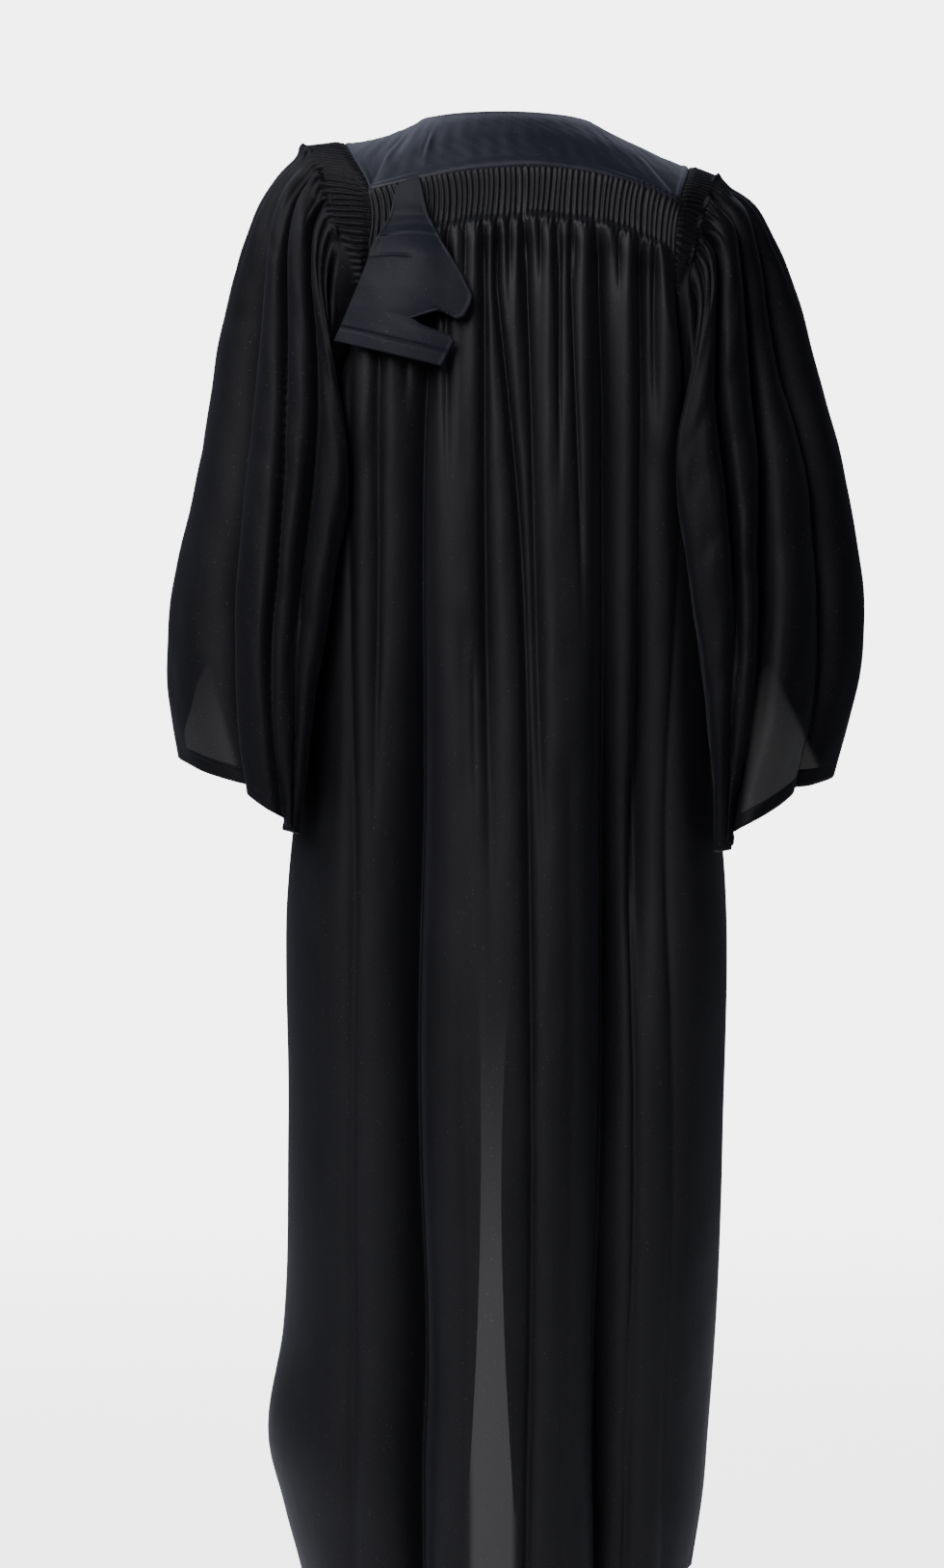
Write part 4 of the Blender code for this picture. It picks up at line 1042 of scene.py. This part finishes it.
def make_sleeve(left_side):
    """A sleeve: its smooth surface, moved out by ribs and fold heads and in by folds."""
    before = np.linspace(0, GAUGE_FROM, PLAIN_COLUMNS, endpoint=False)
    ribbed = np.linspace(GAUGE_FROM, GAUGE_TO, SLEEVE_RIBS * RIB_COLUMNS, endpoint=False)
    at = np.concatenate([before, ribbed, np.linspace(GAUGE_TO, 1, PLAIN_COLUMNS)])
    down = rows_down(*SLEEVE_SPANS)
    level = down[:, None]
    grid = sleeve_base(left_side)(at, level)
    facing = -1 if left_side else 1
    normals = round_outward(grid, facing)
    ends = np.minimum(at - GAUGE_FROM, GAUGE_TO - at)
    foot = SLEEVE_FEET[0 if left_side else 1] * rise(ends, -0.01, 0.10)
    foot = foot + 0.010 * np.sin(75 * at) * np.sin(31 * at)
    gauged = (1 - rise(level, foot - 0.015, foot + 0.035)) * rise(ends, 0.0, 0.006)
    gauged = gauged * (0.5 + 0.5 * rise(level, 0, 0.02))
    waver = 0.25 * np.sin(40 * at + 30 * level) + 0.2 * np.sin(97 * at - 18 * level)
    share = (at - GAUGE_FROM) / (GAUGE_TO - GAUGE_FROM)
    raised = SLEEVE_RIB_HEIGHT * ribs(SLEEVE_RIBS * share + waver, SLEEVE_RIB_SHARP) * gauged
    raised = raised + head_height(SLEEVE_HEADS, at, level)
    wave = ripple(9 * at, 5 * level, 2.2 if left_side else 5.0) * rise(level, 0.1, 0.2)
    raised = raised + SLEEVE_RIPPLE * wave * rise(np.minimum(at, 1 - at), 0, 0.06)
    great = LEFT_SLEEVE_FOLDS if left_side else RIGHT_SLEEVE_FOLDS
    depth = fold_depth(sleeve_folds(great), at, level)
    depth = depth + crease_depth(LEFT_CREASES if left_side else RIGHT_CREASES, at, level)
    moved = grid + normals * (raised - depth)[..., None]
    moved[:, -1] = moved[:, 0]
    full, places = hemmed(moved, round_outward(moved, facing), down, SLEEVE_HEM_TURN)
    inside = points(-ARMHOLE_ALLOWANCE if left_side else ARMHOLE_ALLOWANCE, 0.0, 0.0)
    top = full[:1] - ARMHOLE_ALLOWANCE * normals[:1] + inside
    full, places = with_top(full, places, top, ARMHOLE_PLACE)
    up = (1 - places[:, None]) * SLEEVE_FLAT[1]
    uv = cloth_uv(at * SLEEVE_FLAT[0], up, 2 if left_side else 3)
    name = "sleeve_left" if left_side else "sleeve_right"
    piece = add_mesh(name + "_cloth", full, uv, left_side, sleeve_satin_with_painted_shade, closed=True)
    declare(piece, name)


# The yoke
# One smooth piece of doubled satin over the nape and both shoulders, stiffened by its layers.
# Its back edge rolls softly over the gauged seam, and its neck edge is turned and pressed.

NeckPoint = namedtuple("NeckPoint", "along x y z")

NECK_EDGE = table(
    NeckPoint,
    (0.00, 0.072, -0.092, -0.085),
    (0.14, 0.085, -0.045, -0.027),
    (0.26, 0.088, 0.005, 0.010),
    (0.37, 0.069, 0.046, 0.015),
    (0.50, 0.003, 0.066, 0.017),
    (0.63, -0.061, 0.047, 0.013),
    (0.74, -0.079, 0.005, 0.006),
    (0.86, -0.081, -0.045, -0.034),
    (1.00, -0.074, -0.092, -0.095),
)

# The outer edge follows the left armhole for its first share, the right one for its last, and
# the back's seam between them. Here are the yoke's length on the UV map, the thickness of its
# two layers, that share with the turns of the armholes, the mesh's columns and rows, how high it
# is crowned, and how uneven it is.

YOKE_LENGTH = 0.56
YOKE_CLOTH = 0.0020
YOKE_END = 0.30
YOKE_TURNS = (-0.150, 0.130)
YOKE_SPANS = ((0, YOKE_END, 60), (YOKE_END, 1 - YOKE_END, 180), (1 - YOKE_END, 1, 60))
YOKE_OUTWARDS = ((0, 0.86, 30), (0.86, 1, 15))
YOKE_CROWN = 0.0085
YOKE_RIPPLE = 0.0006

# The outer edge rolls over the seam and drops into a ditch there: the height and width of each.
# The neck edge is turned, which leaves a ridge: how high, how far in, and how wide.

ROLL = (0.0014, 0.011)
DITCH = (0.0012, 0.003)
NECK_RIDGE = (0.0007, 0.0022, 0.0016)

# Dents and soft ridges on the yoke: place along it, place from the neck edge to the outer
# edge, half sizes both ways, height, and how far the line leans

Dent = namedtuple("Dent", "along outward wide tall height lean")

YOKE_DENTS = table(
    Dent,
    (0.368, 0.55, 0.0030, 0.13, -0.0012, -0.010),
    (0.373, 0.55, 0.0045, 0.15, 0.0012, -0.010),
    (0.315, 0.48, 0.0100, 0.16, -0.0022, 0.012),
    (0.300, 0.62, 0.0120, 0.12, 0.0018, 0.0),
    (0.340, 0.80, 0.0240, 0.10, -0.0012, 0.0),
    (0.430, 0.45, 0.0280, 0.30, 0.0010, 0.010),
    (0.540, 0.60, 0.0350, 0.25, -0.0008, 0.0),
    (0.640, 0.70, 0.0240, 0.22, -0.0012, 0.0),
    (0.690, 0.60, 0.0180, 0.20, 0.0012, 0.0),
    (0.180, 0.50, 0.0300, 0.25, -0.0012, 0.0),
    (0.820, 0.50, 0.0300, 0.25, -0.0012, 0.0),
)


def seam_out(place):
    """The outward direction at a seam: away from a core that lies 0.12 below the origin, at
    three quarters of the place's x and a fifth of its y."""
    core = points(0.75 * place[..., 0], 0.2 * place[..., 1], -0.12)
    return unit(place - core)


def yoke_outer_edge(along):
    """The yoke's outer edge: over the left shoulder, along the back seam, over the right."""
    start, end = YOKE_TURNS
    left = armhole(True, start + (end - start) * np.clip(along / YOKE_END, 0, 1))
    right = armhole(False, start + (end - start) * np.clip((1 - along) / YOKE_END, 0, 1))
    share = np.clip((along - YOKE_END) / (1 - 2 * YOKE_END), 0, 1)
    even = np.linspace(0, 1, 301)
    seam = even_rows(back_base, even, np.zeros(1))
    back = points(*(np.interp(share, even, seam[0, :, axis]) for axis in range(3)))
    edge = np.where((along < YOKE_END)[..., None], left, back)
    return np.where((along > 1 - YOKE_END)[..., None], right, edge)


def dent_height(along, level):
    """Dents and ridges as bell curves both ways, whose lines lean on the way outwards."""
    total = np.zeros(np.broadcast(along, level).shape)
    for dent in YOKE_DENTS:
        off = (along - dent.along - dent.lean * (level - dent.outward)) / dent.wide
        total += dent.height * np.exp(-(off**2) - ((level - dent.outward) / dent.tall) ** 2)
    return total


def ridge(distance, height, middle, width):
    """A ridge along an edge: a bell curve of the distance from it."""
    return height * np.exp(-(((distance - middle) / width) ** 2))


def lay_double(piece, thickness):
    """Lays a second layer inside a piece, and closes its edges."""
    layer = piece.modifiers.new("doubled", "SOLIDIFY")
    layer.thickness = thickness
    layer.offset = -1


def make_yoke():
    """The yoke: straight lines from the neck edge to the outer edge, crowned by a parabola,
    with its dents. A roll near the outer edge is a half sine that ends in a drop."""
    along = rows_down(*YOKE_SPANS)
    level = rows_down(*YOKE_OUTWARDS)[:, None]
    keys = column(NECK_EDGE, "along")
    neck = points(*(smooth(keys, column(NECK_EDGE, axis), along) for axis in "xyz"))
    edge = yoke_outer_edge(along)
    share = level[..., None]
    grid = neck + (edge - neck) * share
    grid = grid + seam_out(grid) * YOKE_CROWN * 4 * share * (1 - share)
    width = np.linalg.norm(edge - neck, axis=-1)
    from_edge = (1 - level) * width
    waver = 1 + 0.3 * np.sin(46 * along) * np.sin(19 * along + 1)
    roll = ROLL[0] * waver * np.sin(np.pi * np.clip(from_edge / ROLL[1], 0, 1))
    raised = dent_height(along, level) + roll * rise(from_edge, 0, 0.004)
    raised = raised + ridge(level * width, *NECK_RIDGE) - DITCH[0] * (1 - rise(from_edge, 0, DITCH[1]))
    wave = ripple(22 * along, 3.0 * level, 3.3) * np.sin(np.pi * level)
    raised = raised + YOKE_RIPPLE * wave
    grid = grid + seam_out(grid) * raised[..., None]
    uv = cloth_uv(along * YOKE_LENGTH, from_edge, 4)
    piece = add_mesh("yoke_cloth_piece", grid, uv, True, yoke_satin_with_painted_sheen)
    lay_double(piece, YOKE_CLOTH)
    declare(piece, "yoke")


# The yoke's shades are lighter and bluer than the gown's: a painted sheen of the pale sky that its
# upward-facing satin mirrors.
yoke_satin_with_painted_sheen = satin(
    "yoke_cloth",
    dark=(0.0145, 0.0152, 0.0265),
    light=(0.0210, 0.0220, 0.0365),
    roughness=0.48,
    shine=0.48,
    grain=0.8,
)

make_yoke()
make_back()
for on_the_left in (True, False):
    make_front(on_the_left)
    make_sleeve(on_the_left)


# The hood piece
# A small doubled flap of the yoke's satin, sewn into the seam on the left shoulder blade. It
# is notched at its inner side and hemmed at its foot, and stands a little off the folds.

HoodRow = namedtuple("HoodRow", "down outer_x outer_z inner_x inner_z")

# Its two sides, from the seam to the foot, where straight lines between them cover the flap

HOOD_ROWS = table(
    HoodRow,
    (0.000, 0.1065, -0.0690, 0.0870, -0.0640),
    (0.070, 0.1130, -0.0830, 0.0765, -0.0830),
    (0.190, 0.1230, -0.1010, 0.0635, -0.1085),
    (0.360, 0.1285, -0.1120, 0.0455, -0.1385),
    (0.440, 0.1295, -0.1150, 0.0362, -0.1580),
    (0.475, 0.1300, -0.1170, 0.0380, -0.1660),
    (0.515, 0.1310, -0.1195, 0.0440, -0.1765),
    (0.545, 0.1320, -0.1225, 0.0510, -0.1790),
    (0.580, 0.1350, -0.1300, 0.0590, -0.1740),
    (0.615, 0.1390, -0.1400, 0.0665, -0.1710),
    (0.660, 0.1430, -0.1500, 0.0750, -0.1730),
    (0.725, 0.1490, -0.1640, 0.0915, -0.1780),
    (0.780, 0.1510, -0.1690, 0.0810, -0.1850),
    (0.845, 0.1550, -0.1780, 0.0560, -0.1945),
    (0.870, 0.1565, -0.1815, 0.0530, -0.1985),
    (1.000, 0.1637, -0.1980, 0.0646, -0.2215),
)

# The thickness of its two layers, the mesh's rows and columns, and how uneven it is

HOOD_CLOTH = 0.0018
HOOD_ROW_COUNT = 130
HOOD_COLUMNS = 71
HOOD_RIPPLE = 0.0006

# How far back the smooth back reaches, at heights below the origin, how fast it curves away
# beyond a place across, and how far the flap stands off it at the seam, in its middle and below

BACK_REACH = ((0.050, 0.100, 0.150, 0.200, 0.250), (0.1160, 0.1236, 0.1298, 0.1340, 0.1370))
BACK_CURVE = 2.2
CURVE_FROM = 0.070
HOOD_GAP = 0.0022
HOOD_BOW = 0.0020
HOOD_STANDS_OFF = 0.020

# The turned edge at its sides: how high, how far in, and how wide. The hem at its foot: how far
# up it is sewn, how deep and wide its groove is, and how much thicker the cloth is below it.

HOOD_EDGE = (0.0007, 0.0016, 0.0012)
HOOD_HEM = 0.0140
HEM_GROOVE = 0.0011
HEM_THICKER = 0.0008

# Wrinkles on the flap: the middle of each, across and up, its half length and width, its height,
# and how much it bows

Wrinkle = namedtuple("Wrinkle", "x z length width height bow")

HOOD_WRINKLES = table(
    Wrinkle,
    (0.092, -0.098, 0.032, 0.0013, 0.0016, 5.0),
    (0.090, -0.092, 0.030, 0.0030, -0.0012, 5.0),
    (0.122, -0.101, 0.009, 0.0011, 0.0014, 3.0),
    (0.112, -0.120, 0.019, 0.0012, 0.0013, 4.0),
    (0.098, -0.079, 0.018, 0.0020, 0.0012, 4.0),
    (0.104, -0.068, 0.012, 0.0018, -0.0008, 2.0),
)


def make_hood():
    """The flap: straight lines between its two sides, whose corners are joined by straight
    lines too, set behind the back by a smooth rise. Wrinkles are bell curves about bows."""
    keys = column(HOOD_ROWS, "down")
    down = np.unique(np.concatenate([np.linspace(0, 1, HOOD_ROW_COUNT), keys]))
    at = np.linspace(0, 1, HOOD_COLUMNS)
    outer_x, outer_z, inner_x, inner_z = (
        np.interp(down, keys, column(HOOD_ROWS, name))[:, None] for name in HoodRow._fields[1:]
    )
    x = outer_x + (inner_x - outer_x) * at
    z = outer_z + (inner_z - outer_z) * at
    top_z = HOOD_ROWS[0].outer_z
    level = np.maximum(top_z - z, 0)
    seam = back_base(np.linspace(0.02, 0.98, 200), np.zeros(1))
    to_seam = np.interp(-x, -seam[:, 0], seam[:, 2]) - top_z
    z = z + to_seam * (1 - rise(level, 0, 0.030)) * (1 - rise(down[:, None], 0, 0.08))
    y = np.interp(-z, *BACK_REACH) - BACK_CURVE * np.maximum(x - CURVE_FROM, 0) ** 2
    y = y + HOOD_BOW * np.sin(np.pi * at) * rise(level, 0, 0.05)
    y = y + HOOD_CLOTH + HOOD_GAP + HOOD_STANDS_OFF * rise(level, 0, 0.055)
    for wrinkle in HOOD_WRINKLES:
        line = wrinkle.z - wrinkle.bow * (x - wrinkle.x) ** 2
        window = np.exp(-(((x - wrinkle.x) / wrinkle.length) ** 4))
        y = y + window * ridge(z - line, wrinkle.height, 0, wrinkle.width)
    from_side = np.minimum(at, 1 - at) * np.abs(inner_x - outer_x)
    y = y + ridge(from_side, *HOOD_EDGE) * rise(level, 0, 0.02)
    foot = HOOD_ROWS[-1]
    lean = (foot.outer_z - foot.inner_z) / (foot.outer_x - foot.inner_x)
    hem_up = (z - foot.outer_z - lean * (x - foot.outer_x)) / math.hypot(1, lean)
    y = y - ridge(hem_up, HEM_GROOVE, HOOD_HEM, HEM_GROOVE)
    y = y + HEM_THICKER * (1 - rise(hem_up, HOOD_HEM - 0.003, HOOD_HEM))
    y = y + HOOD_RIPPLE * ripple(14 * x, 12 * z, 1.1) * rise(level, 0.02, 0.06)
    uv = cloth_uv(x, hem_up, 5)
    piece = add_mesh("hood_piece_cloth", points(x, y, z), uv, True, hood_satin)
    lay_double(piece, HOOD_CLOTH)
    declare(piece, "hood_piece")


hood_satin = satin(
    "hood_cloth",
    dark=(0.0095, 0.0104, 0.0180),
    light=(0.0142, 0.0155, 0.0262),
    roughness=0.57,
    shine=0.30,
    hem=HOOD_HEM,
    grain=0.8,
)
make_hood()


# The stage
# A pale floor below the hem, soft lights and a pale room, and the camera behind the gown.

# The floor's height, its radius, and its glow where it is looked at

FLOOR_Z = -1.58
FLOOR_RADIUS = 3.2
FLOOR_GLOW = (3.4, 3.4, 3.45, 1)


def make_floor():
    """A flat disc of rings and spokes. It glows where it is looked at, as the room does, so
    that it stays pale beside black cloth, and it fades into the room towards its rim."""
    radius = np.linspace(0.001, FLOOR_RADIUS, 30)[:, None]
    angle = np.linspace(0, 2 * np.pi, 97)[None, :]
    grid = points(radius * np.cos(angle), radius * np.sin(angle), FLOOR_Z)
    material = bpy.data.materials.new("floor")
    start = fresh_tree(material)
    place = start.node("ShaderNodeTexCoord", {}, output=3).stretched((1.0, 1.0, 0.0))
    reach = start.node("ShaderNodeVectorMath", {0: place}, 1, operation="LENGTH")
    seen = start.node("ShaderNodeLightPath", {}, output=0)
    look = {
        "Base Color": (0.86, 0.86, 0.87, 1),
        "Roughness": 0.8,
        "Emission Color": seen.mix((0, 0, 0, 1), FLOOR_GLOW),
        "Emission Strength": 1.0,
        "Alpha": 1 - reach.between(0.35 * FLOOR_RADIUS, 0.98 * FLOOR_RADIUS),
    }
    shader = start.node("ShaderNodeBsdfPrincipled", look)
    start.node("ShaderNodeOutputMaterial", {"Surface": shader})
    add_mesh("floor", grid, grid[..., :2], True, material)


# The room's colours: behind the gown, before it, high up beyond it, and where it is looked at

ROOM_BEHIND = (0.022, 0.022, 0.026, 1)
ROOM_BEFORE = (0.045, 0.045, 0.048, 1)
ROOM_BRIGHT = (0.86, 0.90, 1.09, 1)
ROOM_SEEN = (5.2, 5.2, 5.25, 1)


def make_room():
    """The room: pale where it is looked at, and dim as a light, except high beyond the gown's
    front and left, where the yoke and the shoulders mirror it."""
    world = bpy.data.worlds.new("room")
    bpy.context.scene.world = world
    start = fresh_tree(world)
    way = start.node("ShaderNodeTexCoord", {}, output=0)
    front = 0 - way.part(1)
    bright = (front + way.part(0) * 0.5).between(0.1, 0.8) * way.part(2).between(0.22, 0.50)
    colour = bright.mix(front.between(-0.1, 0.6).mix(ROOM_BEHIND, ROOM_BEFORE), ROOM_BRIGHT)
    seen = start.node("ShaderNodeLightPath", {}, output=0)
    colour = seen.mix(colour, ROOM_SEEN)
    shader = start.node("ShaderNodeBackground", {"Color": colour, "Strength": 1.0})
    start.node("ShaderNodeOutputWorld", {"Surface": shader})


# The lights: where each stands, what it is turned to, its two sides, its power and its colour

AreaLight = namedtuple("AreaLight", "name place aim size watts colour")

LIGHTS = table(
    AreaLight,
    ("key", (1.1, 2.9, 1.15), (0, 0, -0.45), (1.3, 1.5), 48, (0.96, 0.945, 1.0)),
    ("fill", (-2.3, 3.4, 0.9), (0, 0, -0.6), (1.0, 1.8), 7, (0.975, 0.96, 1.0)),
    ("front", (0, -3.2, -0.5), (0, 0, -0.6), (0.36, 1.2), 30, (1.0, 0.99, 0.98)),
    ("rim", (3.0, 1.2, 1.8), (0, 0, -0.3), (0.8, 1.6), 3, (0.95, 0.97, 1.0)),
    ("top", (2.4, 1.2, 2.2), (0, 0, -0.1), (1.6, 1.2), 43, (0.965, 0.955, 1.0)),
)


def add_light(light):
    """A soft rectangular light at its place, turned towards its aim."""
    lamp = bpy.data.lights.new(light.name, "AREA")
    lamp.shape = "RECTANGLE"
    lamp.size, lamp.size_y = light.size
    lamp.energy = light.watts
    lamp.color = light.colour
    stand = bpy.data.objects.new(light.name, lamp)
    bpy.context.scene.collection.objects.link(stand)
    stand.location = light.place
    stand.rotation_mode = "QUATERNION"
    way = Vector(np.array(light.aim) - np.array(light.place))
    stand.rotation_quaternion = way.to_track_quat("-Z", "Y")


make_floor()
make_room()
for area_light in LIGHTS:
    add_light(area_light)

# The camera stands behind the waist and looks down a little. Its focal length and the picture's
# longer side, which the sensor's width stands for, are both in pixels of the photo.

CAMERA_PLACE = (0.0372, 3.387, -0.321)
CAMERA_TILT = math.radians(5)
SENSOR = 36.0
FOCAL_PIXELS = 3656
PHOTO_HEIGHT = 1627

camera = bpy.data.cameras.new("camera")
camera.sensor_width = SENSOR
camera.lens = SENSOR * FOCAL_PIXELS / PHOTO_HEIGHT
viewer = bpy.data.objects.new("camera", camera)
bpy.context.scene.collection.objects.link(viewer)
viewer.location = CAMERA_PLACE
viewer.rotation_euler = (math.pi / 2 - CAMERA_TILT, 0, math.pi)
bpy.context.scene.camera = viewer
